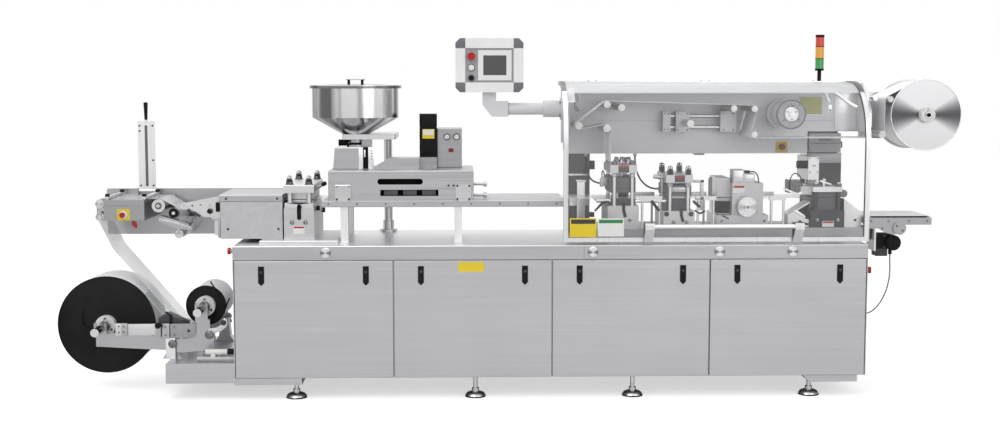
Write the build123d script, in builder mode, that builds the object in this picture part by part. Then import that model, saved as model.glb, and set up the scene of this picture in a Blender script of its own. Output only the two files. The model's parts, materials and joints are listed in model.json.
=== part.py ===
from build123d import *
import os
from math import atan2, cos, sin, tan, radians, hypot, pi

os.makedirs("parts", exist_ok=True)

# Flat-plate blister packing machine. Millimetres, +Z up, floor at Z = 0, operator side at -Y.
# Film runs from the reel at the left end to the delivery conveyor at the right end.

# Overall layout
film_reel_radius = 238
film_reel_offset = 655
foil_reel_radius = 176
foil_reel_offset = 339
cabinet_length = 3020
cabinet_depth = 720
front_reach = 56
floor_clearance = 108
door_height = 567
deck_band = 66
door_count = 4
door_thickness = 20
door_gap = 5
side_wall = 4
film_width = 250
film_thickness = 1
film_centre_depth = 375
film_above_deck = 200
seat_gap = 0.3

left_reach = film_reel_offset + film_reel_radius
right_reach = foil_reel_offset + foil_reel_radius
total_length = left_reach + cabinet_length + right_reach
left = left_reach - total_length / 2
right = left + cabinet_length
front = (front_reach - cabinet_depth) / 2
back = front + cabinet_depth
guard_left = right - 1457
guard_right = right + 3
door_top = floor_clearance + door_height
deck_top = door_top + deck_band
film_z = deck_top + film_above_deck
film_y = front + film_centre_depth
film_front = film_y - film_width / 2
film_back = film_y + film_width / 2


def facing(y):
    """Sketch plane parallel to the operator side, at depth y."""
    return Plane.XZ.offset(-y)


def across(x):
    """Sketch plane square to the film run, at x, with local X along depth."""
    return Plane.YZ.offset(x)


def block(x0, x1, y0, y1, z0, z1, mode=Mode.ADD):
    """Rectangular block between two corners."""
    with Locations(((x0 + x1) / 2, (y0 + y1) / 2, (z0 + z1) / 2)):
        return Box(x1 - x0, y1 - y0, z1 - z0, mode=mode)


def rod_x(x0, x1, y, z, radius, mode=Mode.ADD):
    """Round bar along the film run."""
    with Locations(Location(((x0 + x1) / 2, y, z), (0, 90, 0))):
        return Cylinder(radius, x1 - x0, mode=mode)


def rod_y(x, y0, y1, z, radius, mode=Mode.ADD):
    """Round bar across the machine."""
    with Locations(Location((x, (y0 + y1) / 2, z), (90, 0, 0))):
        return Cylinder(radius, y1 - y0, mode=mode)


def rod_z(x, y, z0, z1, radius, mode=Mode.ADD):
    """Upright round bar."""
    with Locations((x, y, (z0 + z1) / 2)):
        return Cylinder(radius, z1 - z0, mode=mode)


def bend_radii(points):
    """Largest bends that the runs of a cable allow, one for each corner of its route."""
    places = [Vector(*point) for point in points]
    radii = []
    for before, corner, after in zip(places, places[1:], places[2:]):
        turn = (corner - before).get_angle(after - corner)
        shorter = min((corner - before).length, (after - corner).length)
        radii.append(0.45 * shorter / tan(radians(turn) / 2))
    return radii


# Cabinet with its recesses for the lift-off panels, and a cable gland in its right wall
gland_radius = 9
gland_length = 14
cable_entry_y = front + 150
cable_entry_z = 381
with BuildPart() as cabinet_body:
    block(left, right, front, back, floor_clearance, door_top)
    for y0, y1 in ((front, front + door_thickness), (back - door_thickness, back)):
        block(left + side_wall, right - side_wall, y0, y1, floor_clearance, door_top, mode=Mode.SUBTRACT)
    rod_x(right, right + gland_length, cable_entry_y, cable_entry_z, gland_radius)
cabinet_body.part.label = "cabinet_body"
export_step(cabinet_body.part, "parts/cabinet_body.step")

# Deck pan over the cabinet, with its thick stainless band and the pointer caps along it
deck_corner = 5
cap_radius = 25
cap_proud = 9
cap_edge = 3
cap_places = (left + 438, right - 1317, right - 713, right - 363)
with BuildPart() as deck:
    block(left, right, front, back, door_top, deck_top)
    fillet(deck.edges().filter_by(Axis.Z), deck_corner)
    fillet(deck.faces().sort_by(Axis.Z)[-1].edges(), deck_corner)
    for x in cap_places:
        rod_y(x, front - cap_proud, front, door_top + deck_band / 2, cap_radius)
    chamfer(deck.faces().filter_by(Axis.Y).group_by(Axis.Y)[0].edges(), cap_edge)
deck.part.label = "deck"
export_step(deck.part, "parts/deck.step")

# Lift-off front panels
door_pitch = (cabinet_length - 2 * side_wall) / door_count
door_edge = 3
with BuildPart() as front_doors:
    for number in range(door_count):
        door_left = left + side_wall + number * door_pitch
        block(door_left + door_gap / 2, door_left + door_pitch - door_gap / 2,
              front, front + door_thickness, floor_clearance, door_top - door_gap)
    fillet(front_doors.faces().filter_by(Axis.Y).group_by(Axis.Y)[0].edges(), door_edge)
front_doors.part.label = "front_doors"
export_step(front_doors.part, "parts/front_doors.step")

# Lift-off rear panels, the same pattern
with BuildPart() as rear_doors:
    for number in range(door_count):
        door_left = left + side_wall + number * door_pitch
        block(door_left + door_gap / 2, door_left + door_pitch - door_gap / 2,
              back - door_thickness, back, floor_clearance, door_top - door_gap)
    fillet(rear_doors.faces().filter_by(Axis.Y).group_by(Axis.Y)[-1].edges(), door_edge)
rear_doors.part.label = "rear_doors"
export_step(rear_doors.part, "parts/rear_doors.step")

# Panel latches: black paddles with a pointed foot
latch_width = 28
latch_height = 92
latch_inset = 130
latch_drop = 26
latch_proud = 4
latch_point = latch_width / 2
with BuildPart() as door_latches:
    with BuildSketch(facing(front)):
        for number in range(door_count):
            door_left = left + side_wall + number * door_pitch
            for x in (door_left + latch_inset, door_left + door_pitch - latch_inset):
                with Locations((x, door_top - door_gap - latch_drop)):
                    Polygon((-latch_width / 2, 0), (latch_width / 2, 0),
                            (latch_width / 2, latch_point - latch_height), (0, -latch_height),
                            (-latch_width / 2, latch_point - latch_height), align=None)
    extrude(amount=latch_proud)
door_latches.part.label = "door_latches"
export_step(door_latches.part, "parts/door_latches.step")

# Levelling feet: a stem, a lock nut and a domed pad
foot_radius = 50
foot_dome = 26
foot_rim = 7
stem_radius = 10
nut_radius = 17
nut_height = 16
foot_inset = 75
foot_places = (left + 285, left + 1145, right - 1115, right - 255)
with BuildPart() as levelling_feet:
    for x in foot_places:
        for y in (front + foot_inset, back - foot_inset):
            with BuildSketch(Plane((x, y, 0), x_dir=(1, 0, 0), z_dir=(0, -1, 0))):
                with BuildLine():
                    Polyline((stem_radius, floor_clearance), (0, floor_clearance), (0, 0),
                             (foot_radius, 0), (foot_radius, foot_rim))
                    Spline((foot_radius, foot_rim), (nut_radius, foot_dome),
                           tangents=((-0.4, 1), (-1, 0)))
                    Polyline((nut_radius, foot_dome), (nut_radius, foot_dome + nut_height),
                             (stem_radius, foot_dome + nut_height), (stem_radius, floor_clearance))
                make_face()
            revolve(axis=Axis((x, y, 0), (0, 0, 1)))
levelling_feet.part.label = "levelling_feet"
export_step(levelling_feet.part, "parts/levelling_feet.step")

# Unwind arms: a swept cradle plate at each side of the film, with open slots for the reel shafts
film_reel_z = 330
spare_reel_radius = 98
arm_depth = 110
arm_thickness = 14
shaft_radius = 20
lug_half_width = 30
slot_gap = 0.5
film_reel_x = left - film_reel_offset
spare_reel_x = left - 171
spare_reel_z = 423
arm_front = front + arm_depth
arm_back = 2 * film_y - arm_front - arm_thickness
arm_pivots = ((left - 310, 258), (left - 134, 301))
arm_pivot_radius = 20
arm_pivot_proud = 9
with BuildPart() as unwind_arms:
    with BuildSketch(facing(arm_front)) as arm_outline:
        with BuildLine():
            Polyline((left - 676, 297), (left - 600, 312), (left - 340, 292), (left - 285, 280),
                     (left - 232, 284))
            RadiusArc((left - 232, 284), (left - 196, 322), 38)
            Polyline((left - 196, 322), (left - 196, 374), (left - 132, 374), (left - 132, 326),
                     (left - 110, 276), (left - 146, 236), (left - 166, 222), (left - 272, 214),
                     (left - 335, 226), (left - 676, 246), (left - 676, 297))
        make_face()
        for x, z, lug_drop in ((film_reel_x, film_reel_z, 40), (spare_reel_x, spare_reel_z, 60)):
            with Locations((x, z - lug_drop / 2 + lug_half_width / 2)):
                RectangleRounded(2 * lug_half_width, lug_drop + lug_half_width, 6)
        for x, z in ((film_reel_x, film_reel_z), (spare_reel_x, spare_reel_z)):
            with Locations((x, z)):
                Circle(shaft_radius + slot_gap, mode=Mode.SUBTRACT)
            with Locations((x, z + lug_half_width)):
                Rectangle(2 * (shaft_radius + slot_gap), 2 * lug_half_width, mode=Mode.SUBTRACT)
    extrude(amount=-arm_thickness)
    for x, z in arm_pivots:
        rod_y(x, arm_front - arm_pivot_proud, arm_front, z, arm_pivot_radius)
    mirror(about=Plane.XZ.offset(-film_y))
unwind_arms.part.label = "unwind_arms"
export_step(unwind_arms.part, "parts/unwind_arms.step")

# Base beams: the unwind platform with its posts and tie, running in under the cabinet, and a short
# beam at the right
platform_reach = 325
platform_top = 182
platform_bottom = 86
beam_bottom = 76
beam_end = 319
beam_slant = 60
post_left = left - 344
post_width = 54
post_depth = 60
tie_radius = 14
tie_cap_radius = 17
tie_height = 10
with BuildPart() as base_beams:
    with BuildSketch(facing(front)):
        Polygon((left - platform_reach, platform_bottom), (left, platform_bottom), (left, beam_bottom),
                (left + beam_end, beam_bottom), (left + beam_end, floor_clearance),
                (left, floor_clearance), (left, platform_top), (left - platform_reach, platform_top),
                align=None)
    extrude(amount=-cabinet_depth)
    for x in foot_places[:1]:
        for y in (front + foot_inset, back - foot_inset):
            rod_z(x, y, beam_bottom, floor_clearance, nut_radius + 3, mode=Mode.SUBTRACT)
    fillet(base_beams.faces().sort_by(Axis.X)[0].edges(), 4)
    with BuildSketch(facing(front)):
        Polygon((right - 301 + beam_slant / 2, beam_bottom), (right - 40, beam_bottom),
                (right - 40, floor_clearance), (right - 301, floor_clearance), align=None)
    extrude(amount=-cabinet_depth)
    for y in (front + foot_inset, back - foot_inset):
        rod_z(foot_places[-1], y, beam_bottom, floor_clearance, nut_radius + 3, mode=Mode.SUBTRACT)
    with BuildSketch(facing(arm_front + arm_thickness)):
        Polygon((post_left - 20, platform_top), (post_left + post_width + 20, platform_top),
                (post_left + post_width, platform_top + 30), (post_left + post_width, 276),
                (post_left, 276), (post_left, platform_top + 30), align=None)
        Polygon((left - 190, platform_top), (left - 90, platform_top), (left - 110, platform_top + 30),
                (left - 120, 300), (left - 150, 300), (left - 170, platform_top + 30), align=None)
    extrude(amount=-post_depth)
    with BuildSketch(facing(arm_back)):
        Polygon((post_left - 20, platform_top), (post_left + post_width + 20, platform_top),
                (post_left + post_width, platform_top + 30), (post_left + post_width, 276),
                (post_left, 276), (post_left, platform_top + 30), align=None)
        Polygon((left - 190, platform_top), (left - 90, platform_top), (left - 110, platform_top + 30),
                (left - 120, 300), (left - 150, 300), (left - 170, platform_top + 30), align=None)
    extrude(amount=post_depth)
    rod_x(left - 184, left - 46, front + 60, platform_top + tie_height, tie_radius)
    rod_x(left - 46, left, front + 60, platform_top + tie_height, tie_cap_radius)
base_beams.part.label = "base_beams"
export_step(base_beams.part, "parts/base_beams.step")

# Reels: two end discs on a shaft with hub collars, and the roll of film between them
disc_thickness = 5
disc_gap = 8
roll_edge = 4
back_disc_drop = 16
shaft_overhang = 104
slot_overhang = 12
collar_radius = 49
collar_length = 34
disc_front = film_front - disc_gap - disc_thickness
disc_back = film_back + disc_gap
reel_places = {"film_reel": (film_reel_x, film_reel_z, film_reel_radius),
               "spare_reel": (spare_reel_x, spare_reel_z, spare_reel_radius)}
for name, (x, z, radius) in reel_places.items():
    with BuildPart() as reel:
        rod_y(x, disc_front, disc_front + disc_thickness, z, radius)
        rod_y(x, disc_back, disc_back + disc_thickness, z, radius - back_disc_drop)
        rod_y(x, disc_front - collar_length, disc_front, z, collar_radius)
        rod_y(x, disc_back + disc_thickness, disc_back + disc_thickness + collar_length, z, collar_radius)
        rod_y(x, arm_front - shaft_overhang, arm_back + arm_thickness + slot_overhang, z, shaft_radius)
    reel.part.label = name
    export_step(reel.part, f"parts/{name}.step")
    with BuildPart() as roll:
        with BuildSketch(facing(film_front)):
            with Locations((x, z)):
                Circle(radius - roll_edge)
                Circle(shaft_radius, mode=Mode.SUBTRACT)
        extrude(amount=-film_width)
    roll_name = name.replace("reel", "roll")
    roll.part.label = roll_name
    export_step(roll.part, f"parts/{roll_name}.step")

# Idle rollers of the infeed: centre x, centre z, radius
web_roller = (left - 290, 285, 20)
end_roller_low = (left - 669, deck_top + 120, 22)
end_roller_high = (left - 669, film_z - 17, 22)
table_roller = (left - 387, film_z - 27, 31)
guide_roller = (left - 314, deck_top + 138, 24)
dancer_roller = (left - 290, deck_top + 35, 20)
exit_roller = (left - 133, film_z - 22, 22)
infeed_rollers_all = (web_roller, end_roller_low, end_roller_high, table_roller, guide_roller,
                      exit_roller)
slack_bend = (left - 478, deck_top + 51, 165)
web_clearance = 0.3


def web_line(stops):
    """Lines and arcs of a web that runs round rollers.

    Each stop is x, z, radius and the turn, +1 with the roller on the web's left and -1 on its right.
    """
    touch = []
    for (x0, z0, r0, s0), (x1, z1, r1, s1) in zip(stops, stops[1:]):
        dx, dz = x1 - x0, z1 - z0
        length = hypot(dx, dz)
        lean = -(s1 * r1 - s0 * r0) / length
        level = (1 - lean * lean) ** 0.5
        tx, tz = (dx * level - dz * lean) / length, (dz * level + dx * lean) / length
        start = (x0 + s0 * r0 * tz, z0 - s0 * r0 * tx)
        end = (x1 + s1 * r1 * tz, z1 - s1 * r1 * tx)
        touch.append((start, end, tx, tz))
    for index, (start, end, tx, tz) in enumerate(touch):
        Line(start, end)
        if index + 1 < len(touch):
            x, z, r, s = stops[index + 1]
            next_start, _, next_tx, next_tz = touch[index + 1]
            arriving = atan2(tz, tx)
            wrap = s * (atan2(next_tz, next_tx) - arriving) % (2 * pi)
            halfway = arriving + s * wrap / 2
            ThreePointArc(end, (x + s * r * sin(halfway), z - s * r * cos(halfway)), next_start)


def loose(roller, turn):
    """A roller with the web's clearance round it, as a stop of the web."""
    return (roller[0], roller[1], roller[2] + web_clearance + film_thickness / 2, turn)


# Film from the reel over the infeed rollers to the forming station
forming_left = left + 226
forming_width = 145
web_middle = forming_left + forming_width / 2
film_stops = (
    (film_reel_x, film_reel_z, film_reel_radius - roll_edge + web_clearance + film_thickness / 2, -1),
    loose(web_roller, 1), loose(slack_bend, -1), loose(end_roller_low, -1), loose(end_roller_high, -1),
    loose(table_roller, -1), loose(guide_roller, -1), loose(dancer_roller, 1), loose(exit_roller, -1),
    (web_middle, film_z + web_clearance + film_thickness / 2, 0, 1))
with BuildPart() as film_web_infeed:
    with BuildSketch(facing(film_front)):
        with BuildLine():
            web_line(film_stops)
        trace(line_width=film_thickness)
    extrude(amount=-film_width)
film_web_infeed.part.label = "film_web_infeed"
export_step(film_web_infeed.part, "parts/film_web_infeed.step")


def dome_nut(x, y, z, radius, height):
    """Domed nut standing on z: a collar with a round head."""
    rod_z(x, y, z, z + height - radius, radius)
    with Locations((x, y, z + height - radius)):
        Sphere(radius, arc_size1=0)


# Long wall plate behind the film, from the film's left end to the forming station
wall_front = front + 560
wall_thickness = 20
wall_left = left - 720
wall_top = film_z + 32
heating_left = left - 80
heating_width = 299
heating_right = heating_left + heating_width
heating_front = front + 160
heating_lid = 30
pad_thickness = 18
pad_top = deck_top + pad_thickness
with BuildPart() as film_wall:
    with BuildSketch(facing(wall_front)) as wall_outline:
        with Locations((wall_left, deck_top)):
            Rectangle(heating_right - wall_left, wall_top - deck_top, align=(Align.MIN, Align.MIN))
        fillet(wall_outline.vertices().group_by(Axis.X)[0], 10)
    extrude(amount=-wall_thickness)
film_wall.part.label = "film_wall"
export_step(film_wall.part, "parts/film_wall.step")

# Splice lever: a grooved plate with a tapered handle, hinged at the back of the table
lever_left = left - 551
lever_width = 84
lever_axis_y = front + 541
lever_axis_z = film_z + 24
lever_thickness = 9
lever_height = 350
lever_groove = 14
lever_groove_depth = 3
lever_barrel = 8
lever_pin = 4
handle_length = 95
handle_radius = 11
handle_neck = 7
ear_gap = 2
ear_thickness = 8
lever_middle = lever_left + lever_width / 2
with BuildPart() as splice_lever:
    with BuildSketch(facing(lever_axis_y - lever_thickness / 2)) as lever_face:
        with Locations((lever_middle, lever_axis_z)):
            Rectangle(lever_width, lever_height, align=(Align.CENTER, Align.MIN))
        fillet(lever_face.vertices().group_by(Axis.Y)[-1], 6)
    extrude(amount=-lever_thickness)
    with BuildSketch(facing(lever_axis_y - lever_thickness / 2)):
        with Locations((lever_middle, lever_axis_z + lever_height / 2)):
            SlotOverall(lever_height - 40, lever_groove, rotation=90)
    extrude(amount=-lever_groove_depth, mode=Mode.SUBTRACT)
    rod_x(lever_left, lever_left + lever_width, lever_axis_y, lever_axis_z, lever_barrel)
    rod_z(lever_middle, lever_axis_y, lever_axis_z + lever_height - 10, lever_axis_z + lever_height,
          handle_neck / 2)
    with Locations((lever_middle, lever_axis_y, lever_axis_z + lever_height + handle_length / 2)):
        Cone(handle_neck, handle_radius, handle_length)
    fillet(splice_lever.faces().sort_by(Axis.Z)[-1].edges(), 5)
    rod_x(lever_left - 1, lever_left + lever_width + 1, lever_axis_y, lever_axis_z,
          lever_pin + seat_gap, mode=Mode.SUBTRACT)
splice_lever.part.label = "splice_lever"
export_step(splice_lever.part, "parts/splice_lever.step")

# Splice table, carried by the wall plate, with the lever's hinge pin between two ears
table_left = left - 644
table_length = 195
table_front = front + 190
table_top = film_z + 4
table_plate = 25
table_box_height = 100
table_groove = 4
with BuildPart() as splice_table:
    block(table_left, table_left + table_length, table_front, wall_front, table_top - table_box_height,
          table_top)
    fillet(splice_table.faces().sort_by(Axis.Y)[0].edges().filter_by(Axis.Z), 3)
    block(table_left, table_left + table_length, table_front, table_front + table_groove,
          table_top - table_plate - table_groove, table_top - table_plate, mode=Mode.SUBTRACT)
    rod_x(lever_left - ear_gap - ear_thickness, lever_left + lever_width + ear_gap + ear_thickness,
          lever_axis_y, lever_axis_z, lever_pin)
    for x in (lever_left - ear_gap - ear_thickness, lever_left + lever_width + ear_gap):
        with BuildSketch(across(x)):
            Polygon((lever_axis_y - 14, table_top), (wall_front, table_top),
                    (wall_front, lever_axis_z + 6), (lever_axis_y + 2, lever_axis_z + 12),
                    (lever_axis_y - 12, lever_axis_z + 8), align=None)
        extrude(amount=ear_thickness)
splice_table.part.label = "splice_table"
export_step(splice_table.part, "parts/splice_table.step")

# Clamp bars over the table, each on two posts with thumb knobs
bar_width = 16
bar_bottom = film_z + 8
bar_height = 11
bar_front = front + 204
bar_back = front + 522
bar_post = 6
thumb_radius = 11
thumb_height = 13
clamp_places = (left - 630, left - 453)
with BuildPart() as clamp_bars:
    for x in clamp_places:
        block(x - bar_width / 2, x + bar_width / 2, bar_front, bar_back, bar_bottom, bar_bottom + bar_height)
        for y in (bar_front + thumb_radius, bar_back - thumb_radius):
            rod_z(x, y, table_top, bar_bottom, bar_post)
    for x in clamp_places:
        for y in (bar_front + thumb_radius, bar_back - thumb_radius):
            rod_z(x, y, bar_bottom + bar_height, bar_bottom + bar_height + thumb_height, thumb_radius)
    chamfer(clamp_bars.faces().group_by(Axis.Z)[-1].edges(), 2)
clamp_bars.part.label = "clamp_bars"
export_step(clamp_bars.part, "parts/clamp_bars.step")

# Infeed rollers, each on a stub from the wall plate or, at the unwind, between the arms, and the
# dancer arm that hangs from a pivot on the wall plate with its roller under the film
roller_front = film_front - 30
roller_stub = 8
infeed_rollers = (end_roller_low, end_roller_high, table_roller, guide_roller, exit_roller)
dancer_pivot = (left - 443, deck_top + 79)
dancer_thickness = 12
dancer_half_width = 14
with BuildPart() as guide_rollers:
    for x, z, radius in infeed_rollers:
        rod_y(x, roller_front, wall_front - 12, z, radius)
        rod_y(x, roller_front - 12, wall_front, z, roller_stub)
    x, z, radius = web_roller
    rod_y(x, arm_front + arm_thickness, arm_back, z, roller_stub)
    rod_y(x, film_front - 15, film_back + 15, z, radius)
    dancer_x, dancer_z, dancer_radius = dancer_roller
    with BuildSketch(facing(wall_front - 2 * dancer_thickness)):
        with BuildLine():
            Line(dancer_pivot, (dancer_x, dancer_z))
        trace(line_width=2 * dancer_half_width)
        for centre in (dancer_pivot, (dancer_x, dancer_z)):
            with Locations(centre):
                Circle(dancer_half_width)
    extrude(amount=-dancer_thickness)
    rod_y(dancer_pivot[0], wall_front - 3 * dancer_thickness, wall_front, dancer_pivot[1], roller_stub)
    rod_y(dancer_x, roller_front, wall_front - 2 * dancer_thickness, dancer_z, dancer_radius)
guide_rollers.part.label = "guide_rollers"
export_step(guide_rollers.part, "parts/guide_rollers.step")

# Heating box: two heated plates with the film's channel between them
with BuildPart() as heating_box:
    block(heating_left, heating_right, heating_front, wall_front, pad_top, film_z)
    fillet(heating_box.faces().sort_by(Axis.Y)[0].edges().filter_by(Axis.Z), 3)
heating_box.part.label = "heating_box"
export_step(heating_box.part, "parts/heating_box.step")

channel_margin = 6
channel_height = 4
lid_overhang = 4
with BuildPart() as heating_cover:
    block(heating_left - lid_overhang, heating_right, heating_front - lid_overhang,
          wall_front, film_z, film_z + heating_lid)
    fillet(heating_cover.faces().sort_by(Axis.Z)[-1].edges().filter_by(Axis.X), 3)
    block(heating_left - lid_overhang - 1, heating_right + 1, film_front - channel_margin,
          film_back + channel_margin, film_z, film_z + channel_height, mode=Mode.SUBTRACT)
heating_cover.part.label = "heating_cover"
export_step(heating_cover.part, "parts/heating_cover.step")

# Bracket plates that hold the exit roller in front of the heating box
bracket_front = front + 195
bracket_thickness = 12
bracket_x = heating_left
with BuildPart() as roller_bracket:
    with BuildSketch(facing(bracket_front)):
        Polygon((bracket_x - 197, deck_top + 162), (bracket_x - 197, deck_top + 185),
                (bracket_x - 27, deck_top + 217), (bracket_x - lid_overhang, deck_top + 217),
                (bracket_x - lid_overhang, film_z), (bracket_x, film_z),
                (bracket_x, deck_top + 31), (bracket_x - 34, deck_top + 31),
                (bracket_x - 34, deck_top + 120), (bracket_x - 85, deck_top + 120),
                (bracket_x - 120, deck_top + 145), align=None)
        for away, rise in ((180, 174), (140, 175), (100, 179)):
            with Locations((bracket_x - away, deck_top + rise)):
                Circle(5, mode=Mode.SUBTRACT)
    extrude(amount=-bracket_thickness)
    x, z, radius = exit_roller
    rod_y(x, bracket_front - 1, bracket_front + bracket_thickness + 1, z, roller_stub + seat_gap,
          mode=Mode.SUBTRACT)
roller_bracket.part.label = "roller_bracket"
export_step(roller_bracket.part, "parts/roller_bracket.step")

# Emergency stops: on the splice table's front, and on each end wall of the cabinet
stop_radius = 13
stop_proud = 24
stop_place = (left - 549, deck_top + 133)
with BuildPart() as emergency_stops:
    middle_x, middle_z = stop_place
    rod_y(middle_x, table_front - stop_proud, table_front, middle_z, stop_radius / 2)
    rod_y(middle_x, table_front - stop_proud - 8, table_front - stop_proud + 4, middle_z, stop_radius)
    for wall, outward, z in ((left, -1, door_top + 37), (right, 1, door_top - 66)):
        for near, far, radius in ((0, 20, 9), (16, 30, 16)):
            ends = sorted((wall + outward * near, wall + outward * far))
            rod_x(ends[0], ends[1], front + 60, z, radius)
emergency_stops.part.label = "emergency_stops"
export_step(emergency_stops.part, "parts/emergency_stops.step")

# Forming station: pad, base, lower plate, posts and the press plate
forming_right = forming_left + forming_width
forming_front = front + 150
forming_back = front + 600
base_top = film_z - 33
bolster_top = film_z - 9
press_bottom = film_z + 39
press_top = film_z + 78
post_inset = 26
post_radius = 11
nut_head = 17
nut_tall = 32
with BuildPart() as forming_base:
    block(left + 118, left + 490, front + 60, wall_front, deck_top, pad_top)
    chamfer(forming_base.faces().sort_by(Axis.Z)[-1].edges(), 3)
    block(forming_left, forming_right, forming_front, forming_back, pad_top, base_top)
    block(forming_left + 4, forming_right - 4, forming_front + 4, forming_back - 4, base_top, bolster_top)
    block(forming_left + 12, forming_right - 12, film_front - 16, film_back + 16, bolster_top, film_z)
    slot_middle = forming_left + 73
    with BuildSketch(facing(forming_front)):
        with Locations((slot_middle, deck_top + 146)):
            SlotOverall(74, 20, rotation=90)
    extrude(amount=-40, mode=Mode.SUBTRACT)
forming_base.part.label = "forming_base"
export_step(forming_base.part, "parts/forming_base.step")

with BuildPart() as forming_press:
    block(forming_left, forming_right, forming_front, forming_back, press_bottom, press_top)
    fillet(forming_press.faces().sort_by(Axis.Z)[-1].edges(), 3)
    block(forming_left + 12, forming_right - 12, film_front - 16, film_back + 16,
          film_z + channel_height, press_bottom)
    for x in (forming_left + post_inset, forming_right - post_inset):
        for y in (forming_front + post_inset, forming_back - post_inset):
            rod_z(x, y, bolster_top, press_bottom, post_radius)
            dome_nut(x, y, press_top, nut_head, nut_tall)
forming_press.part.label = "forming_press"
export_step(forming_press.part, "parts/forming_press.step")

# Feeder box over the film track, with a rounded slot and a window in its front, square plates beside
# them and two adjusting screws at its right end
feeder_left = left + 439
feeder_width = 700
feeder_right = feeder_left + feeder_width
feeder_front = front + 160
feeder_back = front + 600
feeder_height = 145
rail_height = 30
rail_bottom = film_z - rail_height
feeder_top = film_z + feeder_height
track_lap = 18
track_right = guard_left + track_lap
window_depth = 40
with BuildPart() as feeder_box:
    block(feeder_left, feeder_right, feeder_front, feeder_back, film_z, feeder_top)
    fillet(feeder_box.edges().filter_by(Axis.Z), 4)
    fillet(feeder_box.faces().sort_by(Axis.Z)[-1].edges(), 4)
    with BuildSketch(facing(feeder_front)):
        with Locations((feeder_left + 346, film_z + 92)):
            SlotOverall(219, 28)
        with Locations((feeder_left + 390, film_z + 38)):
            Rectangle(280, 30)
    extrude(amount=-window_depth, mode=Mode.SUBTRACT)
    block(feeder_left - 1, feeder_right + 1, film_front - channel_margin, film_back + channel_margin,
          film_z, film_z + channel_height, mode=Mode.SUBTRACT)
    for x in (feeder_left + 71, feeder_right - 50):
        block(x - 37, x + 37, feeder_front - 8, feeder_front, film_z, film_z + 80)
    for z in (film_z + 20, film_z + 74):
        rod_x(feeder_right, feeder_right + 48, feeder_front + 90, z, 7)
        rod_x(feeder_right + 48, feeder_right + 66, feeder_front + 90, z, 13)
feeder_box.part.label = "feeder_box"
export_step(feeder_box.part, "parts/feeder_box.step")

# Film track: the long rail plate under the feeder box, on four square legs
rail_front = front + 150
leg_width = 38
leg_inset = 56
with BuildPart() as film_track:
    block(left + 409, track_right, rail_front, feeder_back, rail_bottom, film_z)
    chamfer(film_track.faces().sort_by(Axis.Y)[0].edges().filter_by(Axis.X), 2)
    for x in (feeder_left + leg_inset, feeder_right - leg_inset - leg_width):
        for y in (feeder_front + 15, feeder_front + 340):
            block(x, x + leg_width, y, y + leg_width, deck_top, rail_bottom)
film_track.part.label = "film_track"
export_step(film_track.part, "parts/film_track.step")

# Tablet hopper: a thin rolled drum on a cone, with a rolled rim
hopper_x = left + 560
hopper_y = front + 365
rim_radius = 225
rim_height = 12
rim_lip = 12
hopper_radius = rim_radius - rim_lip
hopper_neck = 66
hopper_wall = 3
hopper_top = deck_top + 751
drum_bottom = deck_top + 598
cone_bottom = deck_top + 515
with BuildPart() as hopper:
    with BuildSketch(Plane((hopper_x, hopper_y, 0), x_dir=(1, 0, 0), z_dir=(0, -1, 0))):
        Polygon((hopper_neck, cone_bottom), (hopper_radius, drum_bottom),
                (hopper_radius, hopper_top - rim_height),
                (rim_radius, hopper_top - rim_height), (rim_radius, hopper_top),
                (hopper_radius - hopper_wall, hopper_top), (hopper_radius - hopper_wall, drum_bottom + 1),
                (hopper_neck - hopper_wall, cone_bottom), align=None)
    revolve(axis=Axis((hopper_x, hopper_y, 0), (0, 0, 1)))
hopper.part.label = "hopper"
export_step(hopper.part, "parts/hopper.step")

# Hopper lid, a shallow dome lying on the rim, and its bow handle
lid_rise = 10
handle_span = 66
handle_rise = 30
with BuildPart() as hopper_lid:
    with BuildSketch(Plane((hopper_x, hopper_y, 0), x_dir=(1, 0, 0), z_dir=(0, -1, 0))):
        with BuildLine():
            Line((0, hopper_top), (rim_radius, hopper_top))
            Line((rim_radius, hopper_top), (rim_radius, hopper_top + 3))
            Spline((rim_radius, hopper_top + 3), (rim_radius / 2, hopper_top + lid_rise * 0.8),
                   (0, hopper_top + lid_rise), tangents=((-1, 0.02), (-1, 0)))
            Line((0, hopper_top + lid_rise), (0, hopper_top))
        make_face()
    revolve(axis=Axis((hopper_x, hopper_y, 0), (0, 0, 1)))
    for side in (-1, 1):
        rod_z(hopper_x + side * handle_span / 2, hopper_y, hopper_top + lid_rise - 2,
              hopper_top + lid_rise + handle_rise, 7)
    rod_x(hopper_x - handle_span / 2 - 12, hopper_x + handle_span / 2 + 12, hopper_y,
          hopper_top + lid_rise + handle_rise, 11)
hopper_lid.part.label = "hopper_lid"
export_step(hopper_lid.part, "parts/hopper_lid.step")

# Hopper support: a plate under the cone, carried by a post behind the feeder box
hopper_plate = 25
support_bottom = cone_bottom - hopper_plate
hopper_post_x = left + 703
hopper_post_y = front + 650
hopper_post_radius = 21
with BuildPart() as hopper_support:
    with BuildSketch(Plane.XY.offset(support_bottom)) as support_plan:
        with BuildLine():
            Polyline((left + 496, hopper_y - 66), (left + 757, hopper_y - 66),
                     (left + 757, hopper_post_y + 45), (left + 650, hopper_post_y + 45),
                     (left + 496, hopper_y + 80), close=True)
        make_face()
        fillet(support_plan.vertices(), 12)
        with Locations((hopper_x, hopper_y)):
            Circle(34, mode=Mode.SUBTRACT)
    extrude(amount=hopper_plate)
    rod_z(hopper_post_x, hopper_post_y, deck_top, support_bottom, hopper_post_radius)
    rod_z(hopper_post_x, hopper_post_y, deck_top, deck_top + 14, 46)
    rod_z(hopper_post_x, hopper_post_y, deck_top, deck_top + 60, 28)
hopper_support.part.label = "hopper_support"
export_step(hopper_support.part, "parts/hopper_support.step")

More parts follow.
